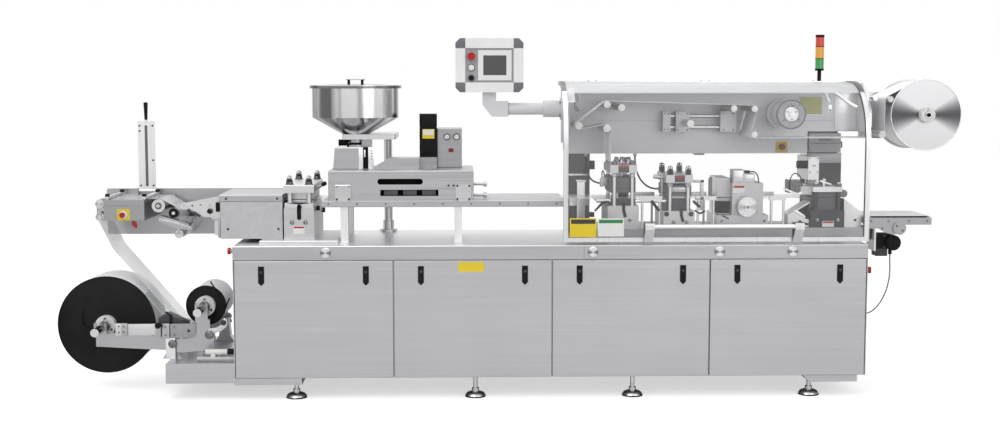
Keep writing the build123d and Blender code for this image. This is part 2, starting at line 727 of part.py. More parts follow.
# Feed throat, gate valve and vibrating chute under the hopper
chute_height = 104
chute_top = feeder_top + chute_height
throat_radius = 32
sleeve_z = support_bottom - 18
with BuildPart() as vibrating_chute:
    with BuildSketch(facing(hopper_y - 75)):
        Polygon((hopper_x - 109, feeder_top), (hopper_x + 29, feeder_top), (hopper_x + 29, chute_top),
                (hopper_x - 99, chute_top), align=None)
    extrude(amount=-150)
    fillet(vibrating_chute.faces().sort_by(Axis.Y)[0].edges(), 4)
    rod_z(hopper_x, hopper_y, chute_top, support_bottom, throat_radius)
    rod_z(hopper_x, hopper_y, chute_top, chute_top + 12, 46)
    block(hopper_x + throat_radius - 2, hopper_x + 78, hopper_y - 28, hopper_y + 28, chute_top,
          support_bottom)
    rod_x(hopper_x - 86, hopper_x, hopper_y, sleeve_z, 14)
    for step in range(4):
        rod_x(hopper_x - 84 + 13 * step, hopper_x - 77 + 13 * step, hopper_y, sleeve_z, 17)
vibrating_chute.part.label = "vibrating_chute"
export_step(vibrating_chute.part, "parts/vibrating_chute.step")

# Sloped cover over the feeder rollers
motor_left = left + 873
cover_left = left + 648
cover_height = 52
cover_slope = 80
cover_lip = 6
with BuildPart() as sloped_cover:
    with BuildSketch(facing(hopper_y - 65)):
        Polygon((cover_left, feeder_top), (motor_left, feeder_top), (motor_left, feeder_top + cover_height),
                (cover_left + cover_slope, feeder_top + cover_height), (cover_left, feeder_top + cover_lip),
                align=None)
    extrude(amount=-160)
sloped_cover.part.label = "sloped_cover"
export_step(sloped_cover.part, "parts/sloped_cover.step")

# Feeder motor
motor_width = 89
motor_front = front + 370
motor_bottom = feeder_top + 54
motor_height = 214
with BuildPart() as feeder_motor:
    block(motor_left, motor_left + motor_width - 3, motor_front, motor_front + 90, motor_bottom,
          motor_bottom + motor_height)
    fillet(feeder_motor.edges().filter_by(Axis.Z), 10)
    for z in (motor_bottom + 16, motor_bottom + motor_height - 70):
        block(motor_left - 1, motor_left + motor_width, motor_front - 1, motor_front + 91, z, z + 3,
              mode=Mode.SUBTRACT)
        block(motor_left + 4, motor_left + motor_width - 7, motor_front + 4, motor_front + 86, z, z + 3)
feeder_motor.part.label = "feeder_motor"
export_step(feeder_motor.part, "parts/feeder_motor.step")

# Gauge box beside the motor, and the gear case under it
gauge_box_left = motor_left + motor_width - 3
gauge_box_width = 124
gauge_box_front = front + 400
gauge_box_height = 196
gauge_radius = 15
with BuildPart() as gauge_box:
    block(gauge_box_left, gauge_box_left + gauge_box_width, gauge_box_front, gauge_box_front + 150,
          feeder_top, feeder_top + gauge_box_height)
    fillet(gauge_box.faces().sort_by(Axis.Y)[0].edges(), 4)
    for x in (gauge_box_left + 50, gauge_box_left + 97):
        rod_y(x, gauge_box_front - 7, gauge_box_front, feeder_top + 154, gauge_radius)
    block(gauge_box_left + 58, gauge_box_left + 82, gauge_box_front - 5, gauge_box_front,
          feeder_top + 78, feeder_top + 96)
    block(motor_left, gauge_box_left, motor_front - 10, motor_front + 120, feeder_top, motor_bottom)
gauge_box.part.label = "gauge_box"
export_step(gauge_box.part, "parts/gauge_box.step")

# Columns on the deck, and the upper housing that they carry
housing_face = front + 520
housing_left = right - 1408
housing_right = right + 78
housing_bottom = deck_top + 408
housing_top = deck_top + 764
housing_step = deck_top + 520
column_left = (right - 1391, right - 1282)
column_right = (right - 163, right - 5)
column_front = housing_face + 40
drawer = (right - 166, right - 3, deck_top + 414, deck_top + 510)
station_cable = 9
cable_drop_y = housing_face + 30
heat_cable = (
    (right - 1304, cable_drop_y, housing_bottom - gland_length), (right - 1304, cable_drop_y, deck_top + 371),
    (right - 1303, front + 541, deck_top + 339), (right - 1298, front + 518, deck_top + 307),
    (right - 1287, front + 486, deck_top + 283), (right - 1269, front + 454, deck_top + 269),
    (right - 1244, front + 428, deck_top + 263), (right - 1224, front + 428, deck_top + 263))
emboss_cable = (
    (right - 1052, cable_drop_y, housing_bottom - gland_length), (right - 1052, cable_drop_y, deck_top + 367),
    (right - 1048, front + 538, deck_top + 327), (right - 1036, front + 512, deck_top + 288),
    (right - 1017, front + 480, deck_top + 259), (right - 994, front + 448, deck_top + 242),
    (right - 970, front + 428, deck_top + 235), (right - 950, front + 428, deck_top + 235))
with BuildPart() as housing_columns:
    for (x0, x1), top in ((column_left, housing_bottom), (column_right, housing_step)):
        with BuildSketch(Plane.XY.offset(deck_top)):
            with Locations(((x0 + x1) / 2, (column_front + back - 10) / 2)):
                RectangleRounded(x1 - x0, back - 10 - column_front, 6)
        extrude(amount=top - deck_top)
    x0, x1, z0, z1 = drawer
    block(x0, x1, column_front - 48, column_front + 10, z0, z1)
housing_columns.part.label = "housing_columns"
export_step(housing_columns.part, "parts/housing_columns.step")

# End plates of the housing, with the swept corner that the guard follows
guard_bend = 300
guard_top = deck_top + 775
guard_bottom = deck_top + 13
guard_tube = 22
hinge_y = front + 405
hinge_z = guard_top - guard_tube / 2
hinge_pin = 4
roof_front = hinge_y + 13
roof_thickness = 22
knuckle_radius = 8
knuckle_half = 30
knuckle_reach = 56
knuckle_gap = 1
knuckle_places = (right - 1290, right - 727, right - 164)
end_plate = 12
with BuildPart() as upper_housing:
    with BuildSketch(facing(housing_face)) as housing_outline:
        Polygon((housing_left, housing_bottom), (column_right[0] - 10, housing_bottom),
                (column_right[0] - 10, housing_step), (housing_right, housing_step),
                (housing_right, housing_top), (housing_left, housing_top), align=None)
        fillet(housing_outline.vertices().group_by(Axis.Y)[0], 14)
    extrude(amount=-(back - housing_face))
    fillet(upper_housing.faces().sort_by(Axis.Z)[-1].edges().filter_by(Axis.X), 8)
    for x, low in ((housing_left - end_plate, deck_top + 459), (housing_right, housing_step)):
        with BuildSketch(across(x)):
            with BuildLine():
                Polyline((housing_face, low), (back, low), (back, housing_top),
                         (housing_face - 20, housing_top))
                RadiusArc((housing_face - 20, housing_top), (housing_face - 220, deck_top + 619), -260)
                Polyline((housing_face - 220, deck_top + 619), (housing_face - 220, deck_top + 549),
                         (housing_face - 120, low), (housing_face, low))
            make_face()
        extrude(amount=end_plate)
    for x in (heat_cable[0][0], emboss_cable[0][0]):
        rod_z(x, cable_drop_y, housing_bottom - gland_length, housing_bottom, gland_radius)
    block(housing_left, housing_right, roof_front, housing_face, housing_top - roof_thickness, housing_top)
    rod_x(knuckle_places[0] - knuckle_reach, knuckle_places[-1] + knuckle_reach, hinge_y, hinge_z, hinge_pin)
    for x in knuckle_places:
        for near, far in ((-knuckle_reach, -knuckle_half - knuckle_gap),
                          (knuckle_half + knuckle_gap, knuckle_reach)):
            rod_x(x + near, x + far, hinge_y, hinge_z, knuckle_radius)
            block(x + near, x + far, hinge_y, roof_front + 1, hinge_z - knuckle_radius, housing_top)
    block(right - 335, right - 276, housing_face - 4, housing_face, deck_top + 415, deck_top + 469)
    rod_y(right - 306, housing_face - 24, housing_face - 4, deck_top + 442, 15)
upper_housing.part.label = "upper_housing"
export_step(upper_housing.part, "parts/upper_housing.step")

# Web rollers on the housing face: x, z, radius
roller_length = 280
roller_face = housing_face - roller_length
upper_left_roller = (right - 1229, deck_top + 661, 17)
lower_left_roller = (right - 1365, deck_top + 558, 17)
lower_middle_roller = (right - 1229, deck_top + 545, 18)
upper_middle_roller = (right - 1158, deck_top + 646, 17)
slide_roller = (right - 607, deck_top + 641, 16)
outer_top_roller = (right - 506, deck_top + 639, 16)
outer_low_roller = (right - 505, deck_top + 514, 16)
housing_roller_places = (upper_left_roller, lower_left_roller, lower_middle_roller, upper_middle_roller,
                         slide_roller, outer_top_roller, outer_low_roller)
takeup_x = right - 312
takeup_z = deck_top + 611
takeup_radius = 74
takeup_front = housing_face - 220
with BuildPart() as housing_rollers:
    for x, z, radius in housing_roller_places:
        rod_y(x, roller_face, housing_face - 6, z, radius)
        rod_y(x, roller_face - 8, housing_face, z, 7)
    rod_y(takeup_x, takeup_front - 22, housing_face, takeup_z, 12)
housing_rollers.part.label = "housing_rollers"
export_step(housing_rollers.part, "parts/housing_rollers.step")

# Registration slide: end blocks, two rods and a carriage with its roller
slide_y = housing_face - 60
slide_left = right - 926
slide_right = right - 556
with BuildPart() as registration_slide:
    for x0, x1 in ((slide_left, slide_left + 38), (slide_right - 80, slide_right)):
        block(x0, x1, slide_y - 20, housing_face, deck_top + 521, deck_top + 623)
    block(slide_left + 64, slide_left + 130, slide_y - 30, housing_face - 8, deck_top + 521, deck_top + 623)
    for z in (deck_top + 544, deck_top + 600):
        rod_x(slide_left + 30, slide_right - 10, slide_y + 10, z, 9)
    rod_y(right - 820, roller_face, slide_y - 30, deck_top + 567, 18)
registration_slide.part.label = "registration_slide"
export_step(registration_slide.part, "parts/registration_slide.step")

# Take-up reel for the scrap web
with BuildPart() as takeup_reel:
    rod_y(takeup_x, takeup_front, takeup_front + 8, takeup_z, takeup_radius)
    rod_y(takeup_x, takeup_front + 8, housing_face - 14, takeup_z, 62)
    rod_y(takeup_x, housing_face - 14, housing_face - 6, takeup_z, takeup_radius)
    rod_y(takeup_x, takeup_front - 16, takeup_front, takeup_z, 36)
    chamfer(takeup_reel.faces().sort_by(Axis.Y)[0].edges(), 4)
    rod_y(takeup_x, takeup_front - 17, housing_face, takeup_z, 12.5, mode=Mode.SUBTRACT)
takeup_reel.part.label = "takeup_reel"
export_step(takeup_reel.part, "parts/takeup_reel.step")

# Bed plate under the stations
bed_left = right - 1380
bed_right = right + 68
bed_front = front + 200
bed_back = front + 545
bed_top = deck_top + 59
rail_gap = 4
rail_width = 16
rail_spans = ((right - 1066, right - 956), (right - 791, right - 690), (right - 428, right - 344))
with BuildPart() as station_bed:
    block(bed_left, bed_right, bed_front, bed_back, deck_top, bed_top)
    fillet(station_bed.faces().sort_by(Axis.Y)[0].edges(), 4)
    for x0, x1 in rail_spans:
        for y in (film_front - rail_gap - rail_width, film_back + rail_gap):
            block(x0, x1, y, y + rail_width, film_z - 8, film_z + 13)
            for x in (x0 + 12, x1 - 12):
                rod_z(x, y + rail_width / 2, bed_top, film_z - 8, 6)
station_bed.part.label = "station_bed"
export_step(station_bed.part, "parts/station_bed.step")

# Heat-sealing station and embossing station: base, posts, die blocks and press plate
station_front = front + 220
station_back = front + 530
station_post = 9
station_post_inset = 14
station_nut = 14
station_nut_tall = 30
die_margin = 4
die_inset = 36


def press_station(x0, x1, base_rise, plate_low, plate_high, block_low, block_high):
    """One press station between x0 and x1, built up from the bed, with the film between its dies."""
    block(x0 - 10, x1 + 10, station_front, station_back, bed_top, base_rise)
    block(x0 + 8, x1 - 8, film_front - die_margin, film_back + die_margin, base_rise, film_z)
    block(x0, x1, station_front - 2, station_back + 2, plate_low, plate_high)
    block(x0 + 4, x1 - 4, film_front - die_margin, film_back + die_margin, block_low, block_high)
    block(x0 + die_inset, x1 - die_inset, film_front, film_back, film_z + channel_height, block_low)
    for x in (x0 + 22, x1 - 22):
        for y in (station_front + station_post_inset, station_back - station_post_inset):
            rod_z(x, y, base_rise, plate_low, station_post)
            dome_nut(x, y, plate_high, station_nut, station_nut_tall)
    rod_z((x0 + x1) / 2, film_y, block_high, plate_low, 20)


with BuildPart() as heat_seal_station:
    press_station(right - 1214, right - 1082, film_z - 33, film_z + 128, film_z + 167, film_z + 30,
                  film_z + 104)
    x, y, z = heat_cable[-1]
    rod_x(x, x + gland_length, y, z, gland_radius)
heat_seal_station.part.label = "heat_seal_station"
export_step(heat_seal_station.part, "parts/heat_seal_station.step")

with BuildPart() as emboss_station:
    press_station(right - 940, right - 807, film_z - 59, film_z + 79, film_z + 118, film_z + 10, film_z + 64)
    x, y, z = emboss_cable[-1]
    rod_x(x, x + gland_length, y, z, gland_radius)
emboss_station.part.label = "emboss_station"
export_step(emboss_station.part, "parts/emboss_station.step")

# Cables that drop from the housing to the two stations
for name, route in (("heat_seal_cable", heat_cable), ("emboss_cable", emboss_cable)):
    radii = bend_radii(route)
    print(name, "bends", [round(radius) for radius in radii])
    with BuildPart() as cable:
        with BuildLine():
            run = FilletPolyline(*route, radius=radii)
        with BuildSketch(Plane(run @ 0, z_dir=run % 0)):
            Circle(station_cable / 2)
        sweep()
    print(name, "length", round(run.length),
          "fill", round(cable.part.volume / (pi * station_cable ** 2 / 4 * run.length), 3))
    cable.part.label = name
    export_step(cable.part, f"parts/{name}.step")

# Traction unit: a tall body on its foot with two caps, a side box over the film with an open mouth
# under it, and the hand disc
traction_left = right - 684
traction_right = right - 434
traction_foot = film_z - 80
traction_side = film_z + 76
traction_shelf = film_z + 98
body_left = traction_left + 73
body_right = traction_right - 24
body_front = station_front + 15
body_back = station_back - 15
side_left = traction_left + 12
side_front = body_front + 55
mouth_depth = 90
mouth_top = traction_foot + 64
cap_width = 53
cap_depth = 90
with BuildPart() as traction_unit:
    block(traction_left, traction_right, station_front, station_back, bed_top, traction_foot)
    block(body_left, body_right, body_front, body_back, traction_foot, traction_side)
    block(side_left, body_left, side_front, body_back, traction_foot, traction_shelf)
    for x, rise in ((body_left + 6, 65), (body_left + 6 + cap_width, 46)):
        block(x, x + cap_width, body_front + 10, body_front + 10 + cap_depth, traction_side,
              traction_side + rise)
    block(side_left - 1, body_left, side_front - 1, side_front + mouth_depth, traction_foot + 3,
          mouth_top, mode=Mode.SUBTRACT)
    block(side_left - 1, body_right + 1, film_front - channel_margin, film_back + channel_margin,
          film_z - 1, film_z + channel_height, mode=Mode.SUBTRACT)
traction_unit.part.label = "traction_unit"
export_step(traction_unit.part, "parts/traction_unit.step")

hand_disc_x = right - 541
hand_disc_z = film_z - 39
hand_disc_radius = 49
with BuildPart() as hand_disc:
    rod_y(hand_disc_x, station_front - 16, station_front - 4, hand_disc_z, hand_disc_radius)
    rod_y(hand_disc_x, station_front - 26, station_front - 16, hand_disc_z, 16)
    rod_y(hand_disc_x, station_front - 4, station_front + 15 - seat_gap, hand_disc_z, 14)
hand_disc.part.label = "hand_disc"
export_step(hand_disc.part, "parts/hand_disc.step")

# Punching station with its slanted motor, tool plate and solenoid
punch_left = right - 224
punch_right = right - 58
punch_base = film_z - 59
tool_bottom = film_z + 33
tool_top = film_z + 58
die_left = punch_left + 24
die_right = punch_right - 22
motor_back_left = punch_left + 3
drive_bottom = tool_top + 30
drive_top = tool_top + 143
coil_left = punch_left - 106
coil_right = coil_left + 62
side_cover_right = right + 30
scrap_left = punch_left - 109
scrap_right = punch_left - 3
with BuildPart() as punch_station:
    block(punch_left, punch_right, station_front, station_back, bed_top, punch_base)
    block(punch_left + 10, punch_right - 12, station_front + 6, station_back - 6, tool_bottom, tool_top)
    for z0, z1 in ((film_z + channel_height, tool_bottom), (punch_base, film_z)):
        block(die_left, die_right, film_front - die_margin, film_back + die_margin, z0, z1)
    for x in (die_left + 3, die_right - 5):
        for y in (station_front + station_post_inset, station_back - station_post_inset):
            rod_z(x, y, punch_base, tool_bottom, station_post)
            dome_nut(x, y, tool_top, station_nut, station_nut_tall)
    with BuildSketch(facing(station_front + 10)):
        Polygon((punch_right, bed_top), (side_cover_right, bed_top), (side_cover_right, punch_base - 10),
                (punch_right, punch_base + 58), align=None)
    extrude(amount=-(station_back - station_front - 20))
    block(motor_back_left, motor_back_left + 53, front + 300, station_back, drive_bottom, drive_top)
    rod_x(motor_back_left - 47, motor_back_left, front + 340, drive_top - 40, 20)
    block(motor_back_left + 41, motor_back_left + 53, front + 300, station_back - 20, tool_top, drive_bottom)
    block(coil_left, coil_right, front + 260, front + 330, film_z + 26, film_z + 90)
    block(coil_right, punch_left + 10, front + 255, front + 335, film_z + 18, tool_top)
    with BuildSketch(facing(station_front + 20)):
        Polygon((scrap_left, bed_top), (scrap_right, bed_top), (scrap_right, film_z - 16),
                (scrap_left, film_z - 81), align=None)
    extrude(amount=-120)
punch_station.part.label = "punch_station"
export_step(punch_station.part, "parts/punch_station.step")

# Guard: a bent tube at each end, rails between them and a curved clear sheet
guard_front = front + 10
guard_sheet = 5
rail_back = hinge_y - knuckle_radius - 1
bend_y = guard_front + guard_bend
grip_left = right - 1076
grip_right = right - 322
grip_z = deck_top + 91
with BuildPart() as guard_frame:
    for x in (guard_left, guard_right - guard_tube):
        with BuildSketch(across(x)):
            with BuildLine():
                Line((guard_front + guard_tube / 2, guard_bottom),
                     (guard_front + guard_tube / 2, guard_top - guard_bend))
                RadiusArc((guard_front + guard_tube / 2, guard_top - guard_bend),
                          (bend_y, hinge_z), guard_bend - guard_tube / 2)
                Line((bend_y, hinge_z), (rail_back, hinge_z))
            trace(line_width=guard_tube)
        extrude(amount=guard_tube)
    block(guard_left, guard_right, guard_front, guard_front + guard_tube, guard_bottom, guard_bottom + 21)
    block(guard_left, guard_right, rail_back - guard_tube, rail_back, guard_top - guard_tube, guard_top)
    for x in knuckle_places:
        rod_x(x - knuckle_half, x + knuckle_half, hinge_y, hinge_z, knuckle_radius)
        block(x - knuckle_half, x + knuckle_half, rail_back - 1, hinge_y, hinge_z - 5, hinge_z + 5)
        rod_x(x - knuckle_half - 1, x + knuckle_half + 1, hinge_y, hinge_z, hinge_pin + seat_gap,
              mode=Mode.SUBTRACT)
    rod_x(grip_left + 20, grip_right - 20, front - front_reach + 12, grip_z, 12)
    for x in (grip_left, grip_right - 44):
        with BuildSketch(across(x)):
            Polygon((guard_front, guard_bottom), (guard_front, grip_z + 16),
                    (front - front_reach + 4, grip_z + 16), (front - front_reach, grip_z + 10),
                    (front - front_reach, grip_z - 14),
                    (guard_front - 12, guard_bottom), align=None)
        extrude(amount=44)
guard_frame.part.label = "guard_frame"
export_step(guard_frame.part, "parts/guard_frame.step")

with BuildPart() as guard_panel:
    with BuildSketch(across(guard_left + guard_tube)):
        with BuildLine():
            Line((guard_front + 8, guard_bottom + 21), (guard_front + 8, guard_top - guard_bend))
            RadiusArc((guard_front + 8, guard_top - guard_bend), (bend_y, guard_top - 8), guard_bend - 8)
            Line((bend_y, guard_top - 8), (rail_back - guard_tube, guard_top - 8))
        trace(line_width=guard_sheet)
    extrude(amount=guard_right - guard_left - 2 * guard_tube)
guard_panel.part.label = "guard_panel"
export_step(guard_panel.part, "parts/guard_panel.step")

# Formed film from the forming station through the feeder and the stations to the punch
formed_end = right - 86
with BuildPart() as film_web_formed:
    block(web_middle, formed_end, film_front, film_back, film_z + web_clearance,
          film_z + web_clearance + film_thickness)
film_web_formed.part.label = "film_web_formed"
export_step(film_web_formed.part, "parts/film_web_formed.step")

# Stack light on the housing
stack_x = right - 91
stack_y = back - 90
stack_pole = 65
stack_bottom = housing_top + stack_pole
tier_pitch = 62
tier_gap = 2
tier_count = 3
tier_radius = 22
with BuildPart() as stack_light:
    rod_z(stack_x, stack_y, housing_top, stack_bottom, 10)
    block(stack_x - 26, stack_x + 26, stack_y - 26, stack_y + 26, housing_top, housing_top + 8)
    for tier in range(tier_count):
        tier_bottom = stack_bottom + tier_pitch * tier
        rod_z(stack_x, stack_y, tier_bottom, tier_bottom + tier_pitch - tier_gap, tier_radius)
    rod_z(stack_x, stack_y, stack_bottom, stack_bottom + tier_pitch * tier_count - tier_gap, 18)
stack_light.part.label = "stack_light"
export_step(stack_light.part, "parts/stack_light.step")

# Control panel arm: flange and tube from the housing's left end, elbow, and the swivelling drop
arm_y = front + 320
arm_z = deck_top + 639
arm_tube = 29
panel_shift = 44
elbow_x = (hopper_x + rim_radius + guard_left) / 2 + panel_shift
elbow_reach = 92
panel_width = 331
panel_height = 262
panel_depth = 120
panel_bottom = deck_top + 720
with BuildPart() as panel_arm:
    rod_x(right - 1453, housing_left - end_plate, arm_y, arm_z, 54)
    rod_x(right - 1536, right - 1453, arm_y, arm_z, 41)
    rod_x(elbow_x + elbow_reach, right - 1536, arm_y, arm_z, arm_tube)
    with BuildSketch(facing(arm_y - 33)):
        Polygon((elbow_x - 33, panel_bottom - seat_gap), (elbow_x + 33, panel_bottom - seat_gap),
                (elbow_x + 33, arm_z + 38), (elbow_x + elbow_reach, arm_z + 38),
                (elbow_x + elbow_reach, arm_z - 38), (elbow_x + 12, arm_z - 38),
                (elbow_x - 33, arm_z + 20), align=None)
    extrude(amount=-66)
panel_arm.part.label = "panel_arm"
export_step(panel_arm.part, "parts/panel_arm.step")

panel_left = elbow_x - panel_width / 2
panel_right = elbow_x + panel_width / 2
panel_face = arm_y - panel_depth / 2
panel_top = panel_bottom + panel_height
panel_border = 48
panel_recess = 8
bezel_border = 10
screen_border = 25
panel_buttons = ((175, 19, 26), (120, 14, 12), (70, 12, 12))
with BuildPart() as control_panel:
    block(panel_left, panel_right, panel_face, panel_face + panel_depth, panel_bottom, panel_top)
    chamfer(control_panel.edges().filter_by(Axis.Y), 22)
    block(panel_left + panel_border, panel_right - panel_border, panel_face, panel_face + panel_recess,
          panel_bottom + panel_border, panel_top - panel_border, mode=Mode.SUBTRACT)
    x0, x1 = panel_left + 110, panel_right - panel_border - bezel_border
    z0, z1 = panel_bottom + panel_border + bezel_border, panel_top - panel_border - bezel_border
    block(x0, x1, panel_face + 1, panel_face + panel_recess, z0, z1)
    block(x0 + screen_border, x1 - screen_border, panel_face, panel_face + 3, z0 + screen_border,
          z1 - screen_border, mode=Mode.SUBTRACT)
    for rise, radius, proud in panel_buttons:
        rod_y(panel_left + 77, panel_face + panel_recess - proud, panel_face + panel_recess,
              panel_bottom + rise, radius)
control_panel.part.label = "control_panel"
export_step(control_panel.part, "parts/control_panel.step")

# Foil reel at the right end, overhung on its arm
foil_reel_x = right + foil_reel_offset
foil_reel_z = deck_top + 610
foil_front = film_front - 12
foil_rollers = ((right + 156, deck_top + 687, 15), (right + 120, deck_top + 514, 18))
with BuildPart() as foil_arm:
    with BuildSketch(facing(film_back + 20)):
        Polygon((housing_right + end_plate, deck_top + 494), (housing_right + 110, deck_top + 494),
                (foil_reel_x + 40, foil_reel_z - 31), (foil_reel_x + 40, foil_reel_z + 31),
                (housing_right + 140, deck_top + 720), (housing_right + end_plate, deck_top + 720),
                align=None)
    extrude(amount=-14)
    rod_y(foil_reel_x, foil_front - 40, film_back + 20, foil_reel_z, 16)
    for x, z, radius in foil_rollers:
        rod_y(x, roller_front, film_back + 20, z, radius)
foil_arm.part.label = "foil_arm"
export_step(foil_arm.part, "parts/foil_arm.step")

with BuildPart() as foil_reel:
    for y in (foil_front, film_back + 8):
        rod_y(foil_reel_x, y, y + 4, foil_reel_z, foil_reel_radius)
    rod_y(foil_reel_x, foil_front, film_back + 12, foil_reel_z, 60)
    rod_y(foil_reel_x, foil_front - 30, foil_front, foil_reel_z, 37)
    rod_y(foil_reel_x, foil_front - 31, film_back + 13, foil_reel_z, 16.5, mode=Mode.SUBTRACT)
foil_reel.part.label = "foil_reel"
export_step(foil_reel.part, "parts/foil_reel.step")

with BuildPart() as foil_roll:
    with BuildSketch(facing(film_front)):
        with Locations((foil_reel_x, foil_reel_z)):
            Circle(foil_reel_radius - 10)
            Circle(60, mode=Mode.SUBTRACT)
    extrude(amount=-film_width)
foil_roll.part.label = "foil_roll"
export_step(foil_roll.part, "parts/foil_roll.step")

# Delivery conveyor: two side plates, rollers, belt and its drive
conveyor_left = right + 36
conveyor_length = 316
conveyor_right = conveyor_left + conveyor_length
conveyor_front = front + 150
conveyor_back = front + 440
side_plate = 8
plate_top = deck_top + 112
plate_low = deck_top + 77
lobe_low = deck_top + 29
belt_top = deck_top + 121
with BuildPart() as conveyor_frame:
    for y in (conveyor_front, conveyor_back - side_plate):
        with BuildSketch(facing(y)):
            Polygon((conveyor_left, bed_top), (right + 90, bed_top), (right + 130, deck_top + 37),
                    (right + 170, lobe_low), (right + 205, deck_top + 37), (right + 220, plate_low),
                    (conveyor_right, plate_low),
                    (conveyor_right, plate_top),
                    (conveyor_left, plate_top), align=None)
        extrude(amount=-side_plate)
    for x in (conveyor_left + 34, conveyor_right - 82):
        block(x - 15, x + 15, conveyor_front, conveyor_back, plate_low + 4, plate_low + 18)
    rod_y(right + 193, conveyor_front - 10, conveyor_front, deck_top + 61, 32)
    for x in (conveyor_left + 4 + 9, conveyor_right - 4 - 9):
        rod_y(x, conveyor_front + side_plate, conveyor_back - side_plate, belt_top - 9, 6.7)
conveyor_frame.part.label = "conveyor_frame"
export_step(conveyor_frame.part, "parts/conveyor_frame.step")

with BuildPart() as conveyor_belt:
    with BuildSketch(facing(conveyor_front + side_plate + 5)):
        with Locations(((conveyor_left + conveyor_right) / 2, belt_top - 9)):
            SlotOverall(conveyor_right - conveyor_left - 8, 18)
            SlotOverall(conveyor_right - conveyor_left - 12, 14, mode=Mode.SUBTRACT)
    extrude(amount=-(conveyor_back - conveyor_front - 2 * side_plate - 10))
conveyor_belt.part.label = "conveyor_belt"
export_step(conveyor_belt.part, "parts/conveyor_belt.step")

# Conveyor gear motor under the frame, with its mounting plate, and its cable to the cabinet's wall
gear_left = right + 80
gear_bottom = lobe_low - 70
motor_cable = 7
motor_cable_route = (
    (right + 160, front + 180, gear_bottom - 29), (right + 160, front + 180, 640),
    (right + 162, front + 178, 597),
    (right + 158, front + 174, 545), (right + 142, front + 168, 488), (right + 116, front + 161, 438),
    (right + 86, front + 155, 404), (right + 50, cable_entry_y, cable_entry_z),
    (right + gland_length, cable_entry_y, cable_entry_z))
with BuildPart() as conveyor_motor:
    block(gear_left - 8, gear_left, conveyor_front, conveyor_front + 130, gear_bottom - 10, bed_top)
    block(gear_left, gear_left + 76, conveyor_front + 20, conveyor_front + 110, gear_bottom, lobe_low)
    block(gear_left + 10, gear_left + 66, conveyor_front + 25, conveyor_front + 100, gear_bottom - 38,
          gear_bottom)
    rod_y(gear_left + 88, conveyor_front + 5, conveyor_front + 115, gear_bottom + 29, 38)
    x, y, z = motor_cable_route[0]
    rod_z(x, y, z, z + 30, gland_radius)
conveyor_motor.part.label = "conveyor_motor"
export_step(conveyor_motor.part, "parts/conveyor_motor.step")

motor_bends = bend_radii(motor_cable_route)
print("motor cable bends", [round(radius) for radius in motor_bends])
with BuildPart() as conveyor_cable:
    with BuildLine():
        motor_run = FilletPolyline(*motor_cable_route, radius=motor_bends)
    with BuildSketch(Plane(motor_run @ 0, z_dir=motor_run % 0)):
        Circle(motor_cable / 2)
    sweep()
print("motor cable length", round(motor_run.length))
conveyor_cable.part.label = "conveyor_cable"
export_step(conveyor_cable.part, "parts/conveyor_cable.step")

# Lidding foil from its reel over the housing's rollers to the heat-sealing station
foil_stops = (
    (foil_reel_x, foil_reel_z, foil_reel_radius - 10 + web_clearance + film_thickness / 2, 1),
    loose(foil_rollers[0], 1), loose(foil_rollers[1], -1), loose(outer_low_roller, -1),
    loose(outer_top_roller, 1), loose(upper_left_roller, 1), loose(lower_left_roller, 1),
    loose(lower_middle_roller, -1), (right - 1208, deck_top + 379, 0, 1))
with BuildPart() as foil_web:
    with BuildSketch(facing(film_front)):
        with BuildLine():
            web_line(foil_stops)
        trace(line_width=film_thickness)
    extrude(amount=-film_width)
foil_web.part.label = "foil_web"
export_step(foil_web.part, "parts/foil_web.step")
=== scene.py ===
"""Looks of a flat-plate blister packing machine: finishes, added pieces, light and camera."""

import json
import logging
import math
from dataclasses import dataclass
from enum import Enum
from typing import Callable, Iterable, Sequence

import bpy
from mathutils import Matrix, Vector

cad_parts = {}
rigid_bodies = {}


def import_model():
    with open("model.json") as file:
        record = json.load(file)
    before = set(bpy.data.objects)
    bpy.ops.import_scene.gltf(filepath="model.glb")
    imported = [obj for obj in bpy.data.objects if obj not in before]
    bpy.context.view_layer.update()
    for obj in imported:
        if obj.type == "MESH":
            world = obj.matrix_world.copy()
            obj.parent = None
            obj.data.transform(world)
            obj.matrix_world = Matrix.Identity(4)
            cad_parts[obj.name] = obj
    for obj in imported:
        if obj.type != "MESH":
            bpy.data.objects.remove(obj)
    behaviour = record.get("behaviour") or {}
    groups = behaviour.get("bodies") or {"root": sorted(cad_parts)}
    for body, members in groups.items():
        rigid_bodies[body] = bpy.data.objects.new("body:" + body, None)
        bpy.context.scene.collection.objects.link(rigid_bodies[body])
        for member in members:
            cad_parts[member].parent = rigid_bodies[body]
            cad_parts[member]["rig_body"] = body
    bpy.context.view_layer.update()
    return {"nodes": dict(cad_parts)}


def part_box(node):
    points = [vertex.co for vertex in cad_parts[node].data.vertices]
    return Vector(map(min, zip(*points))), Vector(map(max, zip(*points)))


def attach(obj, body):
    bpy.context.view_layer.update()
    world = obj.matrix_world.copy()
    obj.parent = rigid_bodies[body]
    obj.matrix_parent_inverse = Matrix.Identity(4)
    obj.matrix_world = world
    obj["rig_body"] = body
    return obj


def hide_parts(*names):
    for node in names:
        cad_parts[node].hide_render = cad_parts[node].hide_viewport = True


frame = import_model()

logging.basicConfig(level=logging.INFO, format="%(message)s")
log = logging.getLogger("blister_machine")

Place = tuple[float, float, float]
Colour = tuple[float, float, float]
Pair = tuple[float, float]

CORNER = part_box("cabinet_body")[0]
LEFT, FRONT = CORNER[0], CORNER[1]


def spot(x: float, y: float, z: float) -> Vector:
    """Point measured from the cabinet's left end, its front and the floor.

    Args:
        x: Distance to the right of the cabinet's left end, in metres.
        y: Distance behind the cabinet's front, in metres.
        z: Height over the floor, in metres.

    Returns:
        The point in the machine's frame.
    """
    return Vector((LEFT + x, FRONT + y, z))


